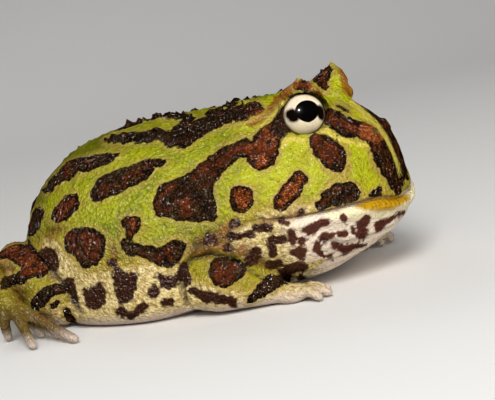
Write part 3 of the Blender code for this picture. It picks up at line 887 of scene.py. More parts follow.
PALE_LINES = {
    "snout ridge": (
        (352, 103, 3), (364, 113, 3), (376, 123, 2.4), (385, 136, 2), (391, 148, 1.8),
        (397, 162, 1.6), (401, 177, 1.6),
    ),
    "behind the eye": ((283, 102, 1.6), (275, 113, 2), (266, 123, 2), (257, 131, 1.6)),
    "under the eye": ((283, 147, 2), (284, 140, 2.5), (292, 138, 3), (303, 141, 2.5)),
    "before the eye": (
        (318, 132, 2), (327, 131, 3.5), (340, 138, 2.5), (352, 144, 2), (366, 146, 2),
    ),
}
YELLOW_LIP = {
    "yellow": (
        (356, 206, 1.5), (366, 205, 5), (378, 204.5, 7), (390, 203, 7), (399, 200, 6),
        (406, 198, 4),
    ),
}
WHITE_LIP = {
    "white": (
        (328, 216, 2.5), (352, 214, 6), (380, 212, 7), (400, 207, 6.5), (411, 199, 7),
        (415, 192, 6),
    ),
}
print("more zones:", len(SHADE_ZONES) + len(LIT_ZONES) + len(BLACK_ZONES))

# %% [markdown]
# ## Marks that the camera doesn't see
#
# The rump, the middle of the back and the backs of the legs get marks of their own, given by their
# places on the frog. They are found as the nearest points of the skin, so they needn't be exact.

# %% Marks out of sight
HIDDEN_MARKS = {  # rows of (forward, left, up, radius) in millimetres
    "rump left": ((-47, 8, 31, 4.6), (-45, 15, 29, 3.6)),
    "rump right": ((-49, -12, 26, 3.4), (-47, -16, 29, 3.0)),
    "rump middle": ((-52, -2, 20, 3.8),),
    "rump low": ((-50, 17, 16, 3.2), (-48, 22, 18, 2.6)),
    "back rear": ((-38, 4, 40, 3.4), (-34, 9, 42, 4.0)),
    "back middle": ((-24, -4, 46, 3.0), (-19, -2, 46.5, 2.2)),
    "rear right": ((-44, -24, 20, 2.6),),
    "left leg band": ((-51, 31, 22, 2.2), (-55, 33, 20, 2.4), (-57, 34, 16, 2.0)),
    "right leg band": ((-52, -30, 22, 2.0), (-56, -32, 20, 2.2), (-57, -33, 16, 1.8)),
    "left shank band": ((-51, 44, 16, 1.5), (-54, 43, 14, 1.8), (-54, 42, 11, 1.4)),
    "right shank band": ((-53, -44, 14, 1.4), (-54, -43, 12, 1.7), (-53, -42, 9, 1.3)),
    "left thigh": ((-54, 19, 18, 2.4),),
    "right thigh": ((-54, -17, 17, 2.2),),
}


def hidden_marks(places, tree):
    """Distance in millimetres from the marks out of sight."""
    nearest = np.full(len(places), FAR_AWAY)
    for row in HIDDEN_MARKS.values():
        centres = []
        for *place, radius in row:
            found, _, _, _ = tree.find_nearest(world(place))
            centres.append((in_tables(np.array([found]))[0], radius))
        for (start, wide), (end, narrow) in zip(centres, centres[1:] or centres):
            way = end - start
            t = np.clip((places - start) @ way / (way @ way + TINY), 0, 1)
            away = places - (start + t[:, None] * way)
            radius = wide + t * (narrow - wide)
            nearest = np.minimum(nearest, np.linalg.norm(away, axis=1) - radius)
    return nearest


print("marks out of sight:", len(HIDDEN_MARKS))

# %% [markdown]
# ## Wandering edges and the far side
#
# No real edge is as even as a disc's. Slow noise moves every place a little before its distance is
# measured, so edges wander. The far side takes the mirror image of the near one, which would look
# printed if it were exact, so it is shifted in slow waves too.

# %% Wandering edges
WANDER_SEED = 5  # Blender's noise vectors differ from run to run unless they get a seed
EDGE_WANDERS = ((0.16, 2.0), (0.5, 1.5))  # waves a millimetre, and how far edges wander in pixels


def wandering(places):
    """A smooth wandering of every place, two numbers each."""
    noise.seed_set(WANDER_SEED)
    total = np.zeros((len(places), 2))
    for waves, reach in EDGE_WANDERS:
        moves = [noise.noise_vector(Vector(place) * waves) for place in places]
        total += np.array(moves)[:, :2] * reach
    return total


points = points_of(skin_mesh)
normals = normals_of(skin_mesh)
places = in_tables(points)
wander = wandering(places)
print("edges wander by up to", round(float(np.abs(wander).max()), 1), "pixels")

# %% The near and the far side
FAR_SIDE_SHIFT = 4.0  # how far the far side's marks wander from a mirror image, in pixels
SHIFT_WAVES = ((9, 7), (11, 8))  # lengths along and up of the waves that move them
FAR_DEPTH_SHARE = 0.3
TOO_FAR = 40  # pixels, farther than any mark counts
FAR_SIDE_FACING = (-0.05, 0.15)


def mirrored(points):
    other = points.copy()
    other[:, 1] = 2 * world((0, 0, 0)).y - other[:, 1]
    return other


def both_sides(points, facing, tree, rows, wander):
    """Distance in millimetres from the rows, and from their mirror images on the far side."""
    spots = in_frame(points)
    spots[:, :2] += wander
    near = nearest_row(spots, depth_shares(facing), tree, rows)
    other_spots = in_frame(mirrored(points))
    along, across, up = in_tables(points).T
    (long_one, high_one), (long_two, high_two) = SHIFT_WAVES
    other_spots[:, 0] += FAR_SIDE_SHIFT * np.sin(along / long_one + up / high_one) + wander[:, 0]
    other_spots[:, 1] += FAR_SIDE_SHIFT * np.cos(along / long_two - up / high_two) + wander[:, 1]
    far = nearest_row(other_spots, FAR_DEPTH_SHARE, tree, rows)
    far += TOO_FAR * smoothstep(*FAR_SIDE_FACING, facing) + TOO_FAR * smoothstep(1.0, -1.0, across)
    return np.minimum(near, far) / PIXELS_PER_MM


# %% Measure the markings
MARKINGS = {  # each table, and how much of the wandering its edges take
    "soft_spot": (SOFT_SPOTS, 1.3),
    "pale": (PALE_ZONES, 1.0),
    "orange": (ORANGE_ZONES, 1.0),
    "dusk_and_shade": (DUSK_AND_SHADE_ZONES, 1.5),
    "black": (BLACK_ZONES, 1.0),
    "lit": (LIT_ZONES, 1.0),
    "shade": (SHADE_ZONES, 1.0),
    "pale_line": (PALE_LINES, 0.6),
    "yellow": (YELLOW_LIP, 0.3),
    "white": (WHITE_LIP, 0.3),
}
facing = seen_share(points, normals)
tree = skin_tree(skin_mesh)
blotch = both_sides(points, facing, tree, BLOTCHES, wander)
blotch = np.minimum(blotch, hidden_marks(places, tree) + wander[:, 0] / PIXELS_PER_MM)
near_side = np.where(places[:, 1:2] > 0, mirrored(points), points)
tint = tint_of_nearest(in_frame(near_side), DEPTH_SHARE, tree, BLOTCHES)
away_from = {
    name: both_sides(points, facing, tree, rows, wander * share)
    for name, (rows, share) in MARKINGS.items()
}
print("share of the skin in blotches:", round(float((blotch < 0).mean()), 2))

# %% [markdown]
# ## Masks
#
# The material wants shares from 0 to 1 where one colour passes into another. The jaw is white and
# free of blotches below the mouth's line, the underside is pale, the lids have a dark edge, partly
# their own dark skin and partly painted shade in the gap round the eye, that is stronger beside the
# eye than over it, and the mouth's line is dark.

# %% Masks
JAW_FULL = NECK + 3.0
JAW_CLEAR = 2.0  # a blotch's distance on the jaw, where there is none
HAND_UNDER_JAW = (20, 9, 43)  # outward, height and front of the hands, which are not jaw
JAW_EDGE = (0.1, -0.2)  # above the mouth's line
PALE_EDGE = (4.0, -3.0)  # away from the pale zones
BELLY_HEIGHT, BELLY_SIDES = (9.0, 3.0), (43, 40)  # up, and outward
LID_DARK = (1.0, 0.5)  # away from the lids' edge
LID_BELOW, LID_BESIDE, LID_ABOVE = 0.45, 0.5, 0.6  # darkness, what it gains, and what it loses
BESIDE_EYE, ABOVE_EYE = (-4.0, -1.5), (3.0, 4.5)  # heights from the eye's centre
MOUTH_LINE_WIDTH = 0.3
on_hand = np.abs(places[:, 1]) > HAND_UNDER_JAW[0]
on_hand = on_hand * (places[:, 2] < HAND_UNDER_JAW[1]) * (places[:, 0] < HAND_UNDER_JAW[2])
above_mouth = places[:, 2] - mouth_height(places[:, 0])
on_jaw = smoothstep(MOUTH_BACK, JAW_FULL, places[:, 0]) * smoothstep(*JAW_EDGE, above_mouth)
on_jaw *= 1 - on_hand
blotch = np.where(on_jaw > 0.5, np.maximum(blotch, JAW_CLEAR), blotch)
pale = np.maximum(smoothstep(*PALE_EDGE, away_from["pale"]), on_jaw)
low_belly = smoothstep(*BELLY_HEIGHT, places[:, 2])
low_belly = low_belly * smoothstep(*BELLY_SIDES, np.abs(places[:, 1]))
pale = np.maximum(pale, low_belly)
# the lids' dark edge: their own dark skin, and painted shade in the gap round the eye
lid_edge_and_shade = smoothstep(*LID_DARK, rim_distance(places))
beside_eye, above_eye = (
    smoothstep(RIGHT_EYE.z + low, RIGHT_EYE.z + high, places[:, 2])
    for low, high in (BESIDE_EYE, ABOVE_EYE)
)
lid_edge_and_shade *= LID_BELOW + LID_BESIDE * beside_eye
lid_edge_and_shade *= 1 - LID_ABOVE * above_eye
mouth_line = ridge(above_mouth, 0, MOUTH_LINE_WIDTH)
mouth_line = mouth_line * smoothstep(NECK, JAW_FULL, places[:, 0])
print("share of the skin on the jaw:", round(float((on_jaw > 0.5).mean()), 2))

# %% [markdown]
# ## Warts
#
# Low warts cover the back, the flanks and the limbs, and taller cones stand along the dark bands of
# the back. Bump in the material would leave the outline smooth, and the cones show best there, so
# the mesh itself is raised. Separate cones would be thousands of pieces. Instead a tree of seeded
# random places gives each vertex its nearest wart, and the vertex rises by how near it is.

# %% Low warts
WARTS = 2300
WART_HEIGHT = 0.26
WART_SIZES = (0.6, 1.25)
WART_STEEPNESS = 1.6
WARTY_NORMALS = (-0.35, 0.25)  # upward parts of the normals from which there are warts
WARTS_FROM_EYE = (7.5, 9.5)
SMOOTHER_HEAD, HEAD_START = 0.75, (24, 34)
SMOOTH_FOOT = (40, 44)  # outward
SOME_WARTS, FEW_WARTS = 0.05, 0.02
rng = random.Random(11)
warty = smoothstep(*WARTY_NORMALS, normals[:, 2])
warty = warty * smoothstep(*WARTS_FROM_EYE, distance_from_eyes(places))
warty *= 1 - SMOOTHER_HEAD * smoothstep(*HEAD_START, places[:, 0])
warty *= 1 - on_jaw
warty *= 1 - smoothstep(*SMOOTH_FOOT, np.abs(places[:, 1])) * (places[:, 0] < FOOT_FRONT)
candidates = np.flatnonzero(warty > SOME_WARTS)
chosen = [candidates[rng.randrange(len(candidates))] for _ in range(WARTS)]
wart_tree = KDTree(len(chosen))
wart_size = []
for index, vertex in enumerate(chosen):
    wart_tree.insert(Vector(places[vertex]), index)
    wart_size.append(rng.uniform(*WART_SIZES))
wart_tree.balance()
rise = np.zeros(len(places))
for vertex in np.flatnonzero(warty > FEW_WARTS):
    _, index, distance = wart_tree.find(Vector(places[vertex]))
    reach = wart_size[index]
    fade = math.exp(-((distance / reach) ** 2) * WART_STEEPNESS)
    rise[vertex] = WART_HEIGHT * reach * warty[vertex] * fade
print("warts:", WARTS, "highest:", round(float(rise.max()), 2))

# %% Cones along the bands
CONE_SPACING = 2.0
CONE_BANDS = {  # height in millimetres of the cones along each mark
    "back band": 2.3,
    "back stripe": 1.7,
    "far band": 2.0,
    "nape": 1.2,
    "stripe top": 1.8,
    "rump stripe": 1.3,
    "long oval": 0.7,
}
CONE_HEIGHTS, CONE_RADII = (0.5, 1.15), (1.0, 1.6)  # shares of the height, and millimetres
BAND_SHARE = 0.8  # of a band's width that carries cones


def on_skin(across, down):
    """The place on the skin that shows at a pixel, or None."""
    place, _, _, _ = tree.ray_cast(camera_place, sight_line(across, down))
    return None if place is None else in_tables(np.array([place]))[0]


cones = []
for name, height in CONE_BANDS.items():
    row = BLOTCHES[name]
    for start, end in zip(row, row[1:] or row):
        length = math.dist(start[:2], end[:2])
        for step in range(int(length / PIXELS_PER_MM / CONE_SPACING * 2) + 1):
            t = rng.random()
            radius = (start[2] + (end[2] - start[2]) * t) * BAND_SHARE
            across = start[0] + (end[0] - start[0]) * t + rng.uniform(-radius, radius)
            down = start[1] + (end[1] - start[1]) * t + rng.uniform(-radius, radius)
            cone = on_skin(across, down)
            if cone is None:
                continue
            for side in (1, -1):
                tall, wide = height * rng.uniform(*CONE_HEIGHTS), rng.uniform(*CONE_RADII)
                cones.append((cone * (1, side, 1), tall, wide))
print("cones:", len(cones))

# %% Tubercles on the horns and the nape
TUBERCLE_MARKS = {"near horn": 16, "far horn": 12, "nape": 8}  # how many on each
TUBERCLE_HEIGHT = 1.1
TUBERCLE_SIZES = (0.6, 0.9)
for name, count in TUBERCLE_MARKS.items():
    for _ in range(count):
        across, down, radius = rng.choice(BLOTCHES[name])
        across += rng.uniform(-radius, radius)
        down += rng.uniform(-radius, radius) * 1.1
        cone = on_skin(across, down)
        if cone is not None:
            size = rng.uniform(*TUBERCLE_SIZES)
            cones.extend((cone * (1, side, 1), TUBERCLE_HEIGHT * size, size) for side in (1, -1))
print("cones and tubercles:", len(cones))

# %% Raise the skin
CONE_FLOOR = 15  # no cone stands lower than this
CONE_CURVE = 1.2  # above 1 a cone's side is hollow
BAND_RISE = 0.35  # a band with cones stands up a little as a whole
UPPER_NORMALS = (0.2, 0.6)
BAND_EDGE, CONE_EDGE = (0.5, -1.5), (0.8, -0.3)  # away from the blotches
BAND_END = (26, 16)  # forward, where the bands pass into the head
cone_tree = KDTree(len(cones))
for index, (cone, _, _) in enumerate(cones):
    cone_tree.insert(Vector(cone), index)
cone_tree.balance()
cone_rise = np.zeros(len(places))
for vertex in np.flatnonzero(places[:, 2] > CONE_FLOOR):
    _, index, distance = cone_tree.find(Vector(places[vertex]))
    _, height, radius = cones[index]
    if distance < radius:
        cone_rise[vertex] = height * (1 - distance / radius) ** CONE_CURVE
upper = smoothstep(*UPPER_NORMALS, normals[:, 2])
banded = smoothstep(*BAND_EDGE, blotch) * upper * smoothstep(*BAND_END, places[:, 0])
rise = rise + cone_rise * smoothstep(*CONE_EDGE, blotch) + BAND_RISE * banded
points = points + normals * (rise * MM)[:, None]
points[:, 2] = np.maximum(points[:, 2], cad_box[0][2])
set_points(skin_mesh, points)
print("highest rise:", round(float(rise.max()), 2))

# %% [markdown]
# ## Attributes
#
# The material reads what was measured as attributes, one number for each vertex. They stay with
# the surface wherever it goes, and need no UV map and no image. Distances are kept in millimetres
# near the marks, so that the material can draw both a sharp edge and a wide halo from them.


# %% Attributes for the skin's material
def add_attribute(mesh, name, values):
    attribute = mesh.attributes.new(name, "FLOAT", "POINT")
    attribute.data.foreach_set("value", np.asarray(values, np.float32))


MARK_REACH = 6  # millimetres past which a distance no longer counts
near_foot = smoothstep(44, 48, np.abs(places[:, 1])) * smoothstep(12, 8, places[:, 2])
skin_attributes = {
    "blotch": np.clip(blotch, -MARK_REACH, MARK_REACH),
    "soft_spot": np.clip(away_from["soft_spot"], -MARK_REACH, MARK_REACH),
    "orange": np.clip(away_from["orange"], -MARK_REACH, MARK_REACH),
    "pale_line": np.clip(away_from["pale_line"], -MARK_REACH, MARK_REACH),
    "tint": tint,
    "throat": smoothstep(27.0, 36.0, places[:, 0]) * on_jaw,
    "pale": pale,
    "yellow": smoothstep(0.8, -0.8, away_from["yellow"]) * on_jaw,
    "white": smoothstep(0.8, -0.6, away_from["white"]) * on_jaw,
    "dusk_and_shade": smoothstep(1.6, -1.6, away_from["dusk_and_shade"]),
    "black": smoothstep(0.8, -0.8, away_from["black"]),
    "lit": smoothstep(3.0, -2.0, away_from["lit"]),
    "shade": smoothstep(3.0, -1.0, away_from["shade"]),
    "lid_edge_and_shade": lid_edge_and_shade,
    "mouth_line": mouth_line,
    "crease_shade": crease_shade,
    "nostril": smoothstep(1.15, 0.6, near_nostril(places)),
    "under": smoothstep(5.0, 0.8, places[:, 2]),
    "low": smoothstep(30.0, 12.0, places[:, 2]),
    "foot": near_foot,
}
for name, values in skin_attributes.items():
    add_attribute(skin_mesh, name, values)
for polygon in skin_mesh.polygons:
    polygon.use_smooth = True
skin = object_of("skin", skin_mesh)
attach(skin, "root")
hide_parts(*flesh_nodes)
print("attributes:", len(skin_attributes))

# %% [markdown]
# ## Materials
#
# A material is a tree of nodes, and its sockets are joined one by one. Written out, the skin alone
# would take hundreds of lines. A small class makes a node in each call and returns the socket that
# the next call takes, so a line reads like a sum: lay this colour over that one, where a mask says.


# %% Node helpers
class Tree:
    """A material's nodes, made one call at a time."""

    def __init__(self, name):
        self.material = bpy.data.materials.new(name)
        self.material.use_nodes = True
        self.nodes = self.material.node_tree.nodes
        self.links = self.material.node_tree.links
        self.shader = self.nodes["Principled BSDF"]

    def put(self, socket, value):
        if isinstance(value, bpy.types.NodeSocket):
            self.links.new(value, socket)
        elif value is not None:
            socket.default_value = value

    def attribute(self, name):
        node = self.nodes.new("ShaderNodeAttribute")
        node.attribute_name = name
        return node.outputs["Fac"]

    def object_place(self):
        return self.nodes.new("ShaderNodeTexCoord").outputs["Object"]

    def noise(self, place, scale, detail=3.0, roughness=0.55):
        node = self.nodes.new("ShaderNodeTexNoise")
        self.put(node.inputs["Vector"], place)
        node.inputs["Scale"].default_value = scale
        node.inputs["Detail"].default_value = detail
        node.inputs["Roughness"].default_value = roughness
        return node.outputs["Fac"]

    def cells(self, place, scale, smoothness=0.35):
        node = self.nodes.new("ShaderNodeTexVoronoi")
        node.feature = "SMOOTH_F1"
        self.put(node.inputs["Vector"], place)
        node.inputs["Scale"].default_value = scale
        node.inputs["Smoothness"].default_value = smoothness
        return node.outputs["Distance"]

    def math(self, operation, one, two=None, three=None):
        node = self.nodes.new("ShaderNodeMath")
        node.operation = operation
        for socket, value in zip(node.inputs, (one, two, three)):
            self.put(socket, value)
        return node.outputs[0]

    def shaken(self, value, waves, reach):
        """A value moved to and fro by noise, whose mean is a half."""
        return self.math("MULTIPLY_ADD", self.math("SUBTRACT", waves, 0.5), reach, value)

    def fade(self, value, start, end, low=0.0, high=1.0):
        """Low at the start and high at the end, also where the end is the lower one."""
        node = self.nodes.new("ShaderNodeMapRange")
        node.interpolation_type = "SMOOTHSTEP"
        self.put(node.inputs["Value"], value)
        node.inputs["From Min"].default_value = min(start, end)
        node.inputs["From Max"].default_value = max(start, end)
        node.inputs["To Min"].default_value = low if start < end else high
        node.inputs["To Max"].default_value = high if start < end else low
        return node.outputs["Result"]

    def mix(self, share, one, two):
        node = self.nodes.new("ShaderNodeMix")
        node.data_type = "RGBA"
        self.put(node.inputs["Factor"], share)
        colours = [socket for socket in node.inputs if socket.type == "RGBA"]
        self.put(colours[0], one)
        self.put(colours[1], two)
        return [socket for socket in node.outputs if socket.type == "RGBA"][0]

    def lay(self, under, over, where, strength=None):
        """Lays one colour over another where a mask says, up to a strength."""
        if strength is not None:
            where = self.math("MULTIPLY", where, strength)
        return self.mix(where, under, over)

    def bump(self, height, distance, normal=None):
        node = self.nodes.new("ShaderNodeBump")
        self.put(node.inputs["Height"], height)
        node.inputs["Distance"].default_value = distance
        self.put(node.inputs["Normal"], normal)
        return node.outputs["Normal"]


def colour(red, green, blue):
    """A colour given as on a screen, 0 to 255, made linear by the sRGB curve."""
    steep = [((part / 255 + 0.055) / 1.055) ** 2.4 for part in (red, green, blue)]
    straight = [part / 3294.6 for part in (red, green, blue)]
    near_black = [part <= 10 for part in (red, green, blue)]
    return (*(b if dark else a for a, b, dark in zip(steep, straight, near_black)), 1.0)


print("mid grey, made linear:", round(colour(128, 128, 128)[0], 3))

# %% [markdown]
# ## The skin's colours
#
# The frog is leaf green with paler knobs, cream below, and blotched in browns. The paler tops of
# knobs and grains are partly their own colour and partly painted highlight. Each colour has a name
# here, so that the layers below can be read, and a colour is changed in one place. Most come in
# threes: a ground, the tops of its grains, and the pits between them.

# %% The skin's colours
SKIN_COLOURS = {  # as on a screen, 0 to 255
    "moss": (112, 120, 1),
    "leaf": (162, 162, 5),
    "leaf gap": (70, 68, 4),
    "leaf top": (200, 200, 30),
    "leaf knob": (184, 190, 20),
    "leaf pit": (72, 62, 4),
    "shade green": (84, 86, 4),
    "lit green": (192, 190, 18),
    "lit top": (212, 206, 50),
    "olive": (132, 100, 26),
    "low green": (138, 112, 16),
    "beige": (162, 140, 44),
    "beige top": (212, 192, 100),
    "beige pit": (96, 70, 30),
    "cream": (184, 156, 92),
    "cream top": (224, 203, 142),
    "cream pit": (136, 100, 56),
    "throat": (238, 218, 194),
    "foot": (98, 74, 36),
    "dusk_and_shade": (64, 40, 18),
    "dusk brown": (122, 72, 28),
    "dusk top": (170, 130, 70),
    "underside": (206, 186, 168),
    "white lip": (242, 228, 184),
    "yellow lip": (188, 142, 4),
    "orange": (128, 62, 18),
    "halo": (164, 138, 58),
    "halo top": (212, 190, 118),
    "halo pit": (112, 88, 34),
    "soft spot": (48, 21, 8),
    "soft spot top": (92, 50, 26),
    "throat spot": (88, 44, 30),
    "shut mouth": (96, 58, 34),
    "olive grain": (92, 68, 34),
    "red grain": (124, 50, 19),
    "orange grain": (206, 126, 62),
    "olive gap": (40, 23, 11),
    "red gap": (104, 44, 17),
    "dark mottle": (30, 17, 10),
    "black": (16, 10, 6),
    "black top": (74, 48, 26),
    # painted glint, on a paler grain top
    "glint dot": (206, 184, 164),
    "warm gap": (142, 68, 26),
    "pale line": (204, 184, 74),
    "pale line top": (236, 222, 132),
    "crease_shade": (48, 28, 15),
    "lid_edge_and_shade": (58, 31, 17),
    "nostril": (92, 88, 44),
}


def paint(name):
    return colour(*SKIN_COLOURS[name])


print("skin colours:", len(SKIN_COLOURS))

# %% [markdown]
# ## Grain of the skin
#
# The skin is pebbled all over, with larger knobs among fine grains. Voronoi cells are rounded like
# pebbles, and noise is cloudy, so cells make the grain, and noise makes the edges ragged and the
# colours uneven. All of them read Object coordinates, so the grain has one size everywhere.

# %% Grain of the skin
BROAD, MIDDLING, FINE = 90.0, 330.0, 900.0  # waves of noise a metre
PEBBLES, GRAINS, KNOBS, GLINT_DOTS = 1500.0, 2100.0, 850.0, 1000.0  # cells a metre
OLIVE_PATCHES, MOTTLE = 160.0, 300.0  # waves of noise a metre
tree = Tree("frog_skin")
place = tree.object_place()
broad = tree.noise(place, BROAD)
middling = tree.noise(place, MIDDLING)
fine_noise = tree.noise(place, FINE, 4.0)
mottle = tree.noise(place, MOTTLE, 4.0, 0.6)
pebbles = tree.cells(place, PEBBLES)
grains = tree.cells(place, GRAINS)
knobs = tree.cells(place, KNOBS)
# paler tops of pebbles and knobs, partly their own colour and partly painted highlight, and darker
# gaps between pebbles, partly painted shade
pebble_top = tree.fade(pebbles, 0.45, 0.1)
pebble_gap_shade = tree.fade(pebbles, 0.45, 0.7)
grain_top = tree.fade(grains, 0.5, 0.15)
knob_highlight = tree.fade(knobs, 0.5, 0.1)
speckle_and_highlight = tree.math("MULTIPLY", pebble_top, tree.fade(fine_noise, 0.42, 0.62))
pits = tree.math("MULTIPLY", tree.fade(fine_noise, 0.43, 0.31), 0.55)
ragged = tree.math("MULTIPLY_ADD", middling, 1.5, -0.75)
ragged = tree.shaken(ragged, fine_noise, 1.2)
print("nodes for the grain:", len(tree.nodes))

# %% [markdown]
# ## Green, beige and cream
#
# Green passes into beige and then into cream towards the belly. A plain gradient would look
# airbrushed. Here each ground has its own grain, and noise shifts the borders between them.

# %% Green skin
green = tree.mix(tree.fade(broad, 0.35, 0.65), paint("moss"), paint("leaf"))
# the green's gaps darker and its tops and knobs paler: own colour with painted shade and painted
# highlight
green = tree.lay(green, paint("leaf gap"), pebble_gap_shade, 0.3)
green = tree.lay(green, paint("leaf top"), speckle_and_highlight, 0.45)
green = tree.lay(green, paint("leaf knob"), knob_highlight, 0.4)
# painted shade on the thigh, the leg and the rear
green = tree.lay(green, paint("shade green"), tree.attribute("shade"), 0.65)
# painted light on the head and the arm: a brighter green
lit_green = tree.mix(speckle_and_highlight, paint("lit green"), paint("lit top"))
green = tree.lay(green, lit_green, tree.attribute("lit"), 0.5)
green = tree.lay(green, paint("leaf pit"), pits)
olive = tree.fade(tree.noise(place, OLIVE_PATCHES, 4.0), 0.5, 0.72)
green = tree.lay(green, paint("olive"), olive, 0.5)
green = tree.lay(green, paint("low green"), tree.attribute("low"), 0.55)
print("nodes with the green:", len(tree.nodes))

# %% Pale skin
beige = tree.mix(speckle_and_highlight, paint("beige"), paint("beige top"))
beige = tree.lay(beige, paint("beige pit"), pits)
cream = tree.mix(tree.fade(fine_noise, 0.4, 0.6), paint("cream"), paint("cream top"))
cream = tree.lay(cream, paint("cream pit"), pits)
cream = tree.lay(cream, paint("throat"), tree.attribute("throat"))
pale_edge = tree.shaken(tree.attribute("pale"), broad, 0.9)
ground = tree.mix(tree.fade(pale_edge, 0.1, 0.5), green, beige)
ground = tree.lay(ground, cream, tree.fade(pale_edge, 0.45, 0.9))
print("nodes with the pale skin:", len(tree.nodes))

# %% [markdown]
# ## Layers over the ground
#
# Feet, dusky places with painted shade on the leg, the underside, the lips and the orange horns
# come next, and then the pale halo round every blotch and the soft brown spots. Each is a colour
# with a mask, laid in the order in which the later one wins.

# %% Zones
# dusky brown, which also serves as painted shade on the leg and in its fold
dusky_and_shade = tree.mix(tree.fade(middling, 0.4, 0.6), paint("dusk_and_shade"), paint("dusk brown"))
dusky_and_shade = tree.lay(dusky_and_shade, paint("dusk top"), speckle_and_highlight)
ground = tree.lay(ground, paint("foot"), tree.attribute("foot"), 0.9)
ground = tree.lay(ground, dusky_and_shade, tree.attribute("dusk_and_shade"), 0.85)
ground = tree.lay(ground, paint("underside"), tree.attribute("under"))
ground = tree.lay(ground, paint("white lip"), tree.attribute("white"))
ground = tree.lay(ground, paint("yellow lip"), tree.attribute("yellow"))
warm = tree.fade(tree.math("ADD", tree.attribute("orange"), ragged), 1.1, 0.0)
ground = tree.lay(ground, paint("orange"), warm, 0.85)
print("nodes with the zones:", len(tree.nodes))

# %% Halo, soft spots and the shut mouth
blotch_edge = tree.math("ADD", tree.attribute("blotch"), ragged)
halo = tree.shaken(blotch_edge, broad, 2.4)
halo_share = tree.math("MULTIPLY_ADD", tree.attribute("lit"), 0.3, 0.6)
halo_share = tree.math("MULTIPLY", tree.fade(halo, 1.9, 0.3), halo_share)
halo_colour = tree.mix(speckle_and_highlight, paint("halo"), paint("halo top"))
ground = tree.lay(ground, tree.lay(halo_colour, paint("halo pit"), pits), halo_share)
soft_edge = tree.math("MULTIPLY_ADD", ragged, 1.2, tree.attribute("soft_spot"))
soft_colour = tree.mix(grain_top, paint("soft spot"), paint("soft spot top"))
soft_colour = tree.lay(soft_colour, paint("throat spot"), tree.attribute("throat"))
ground = tree.lay(ground, soft_colour, tree.fade(soft_edge, 0.6, -0.2))
ground = tree.lay(ground, paint("shut mouth"), tree.attribute("mouth_line"), 0.6)
print("nodes with halo and spots:", len(tree.nodes))

# %% [markdown]
# ## Inside the blotches
#
# A blotch is brown in the middle, in shades from olive to orange, and nearly black at its rim,
# with light dots on its grains, which are painted glints on paler grain tops. The rim comes from
# the same distance as the edge, so it follows every blotch without a drawing of its own.

# %% Inside the blotches
tint = tree.shaken(tree.attribute("tint"), broad, 1.6)
tint = tree.shaken(tint, middling, 1.5)
grain_colour = tree.mix(tree.fade(tint, 0.0, 0.5), paint("olive grain"), paint("red grain"))
grain_colour = tree.lay(grain_colour, paint("orange grain"), tree.fade(tint, 0.5, 1.0))
grain_gap = tree.mix(tree.fade(tint, 0.0, 1.0), paint("olive gap"), paint("red gap"))
brown = tree.mix(grain_top, grain_gap, grain_colour)
brown = tree.lay(brown, paint("dark mottle"), tree.fade(mottle, 0.5, 0.32))
rim_edge = tree.math("MULTIPLY_ADD", pebble_top, -0.5, tree.math("ADD", blotch_edge, 0.2))
rim_edge = tree.shaken(rim_edge, mottle, -4.0)
rim = tree.math("MAXIMUM", tree.fade(rim_edge, -1.4, -0.6), tree.attribute("black"))
inside = tree.lay(brown, tree.mix(grain_top, paint("black"), paint("black top")), rim, 0.93)
# light dots in the blotches: painted glints on grain tops that are paler in their own colour
glint_cells = tree.fade(tree.cells(place, GLINT_DOTS), 0.3, 0.16)
glint_dots = tree.math("MULTIPLY", glint_cells, tree.fade(fine_noise, 0.5, 0.6))
inside = tree.lay(inside, paint("glint dot"), glint_dots, 0.45)
warm_grains = tree.mix(grain_top, paint("warm gap"), paint("orange grain"))
inside = tree.lay(inside, warm_grains, warm, 0.7)
in_blotch = tree.fade(blotch_edge, 0.12, -0.12)
skin_colour = tree.lay(ground, inside, in_blotch)
print("nodes with the blotches:", len(tree.nodes))

# %% Lines, painted shade in creases and at the lids, and nostrils
line = tree.math("MULTIPLY_ADD", ragged, 0.5, tree.attribute("pale_line"))
line_colour = tree.mix(speckle_and_highlight, paint("pale line"), paint("pale line top"))
skin_colour = tree.lay(skin_colour, line_colour, tree.fade(line, 0.35, -0.3), 0.85)
# painted shade in the folds and wrinkles
skin_colour = tree.lay(skin_colour, paint("crease_shade"), tree.attribute("crease_shade"), 0.75)
# the lids' dark edge, partly painted shade
skin_colour = tree.lay(skin_colour, paint("lid_edge_and_shade"), tree.attribute("lid_edge_and_shade"))
skin_colour = tree.lay(skin_colour, paint("nostril"), tree.attribute("nostril"))
tree.put(tree.shader.inputs["Base Color"], skin_colour)
print("nodes with the lines:", len(tree.nodes))

# %% [markdown]
# ## Relief and gloss
#
# The finest grain is too small for the mesh, so it is bump, deeper in the blotches, where the skin
# is coarse. Frog skin is moist: the blotches are the wettest, so they are the smoothest to light.
# A little light goes under the surface, as it does in all thin skin.

# %% Relief and gloss
GRAIN_RELIEF, PEBBLE_RELIEF, KNOB_RELIEF, BLOTCH_KNOBS = -0.4, -0.5, -0.9, -2.2
BUMP_DEPTH = 0.0005
WET_ROUGHNESS, MOIST_ROUGHNESS = 0.17, 0.34
LIGHT_DEPTHS = (0.002, 0.001, 0.0005)  # how far red, green and blue light go under the skin
height = tree.math("MULTIPLY", grains, GRAIN_RELIEF)
height = tree.math("MULTIPLY_ADD", pebbles, PEBBLE_RELIEF, height)
knob_relief = tree.math("MULTIPLY_ADD", in_blotch, BLOTCH_KNOBS, KNOB_RELIEF)
height = tree.math("MULTIPLY_ADD", knobs, knob_relief, height)
height = tree.math("MULTIPLY_ADD", middling, 0.9, height)
roughness = tree.fade(blotch_edge, -0.3, 0.6, WET_ROUGHNESS, MOIST_ROUGHNESS)
tree.put(tree.shader.inputs["Roughness"], roughness)
tree.put(tree.shader.inputs["Normal"], tree.bump(height, BUMP_DEPTH))
tree.shader.inputs["Specular IOR Level"].default_value = 0.4
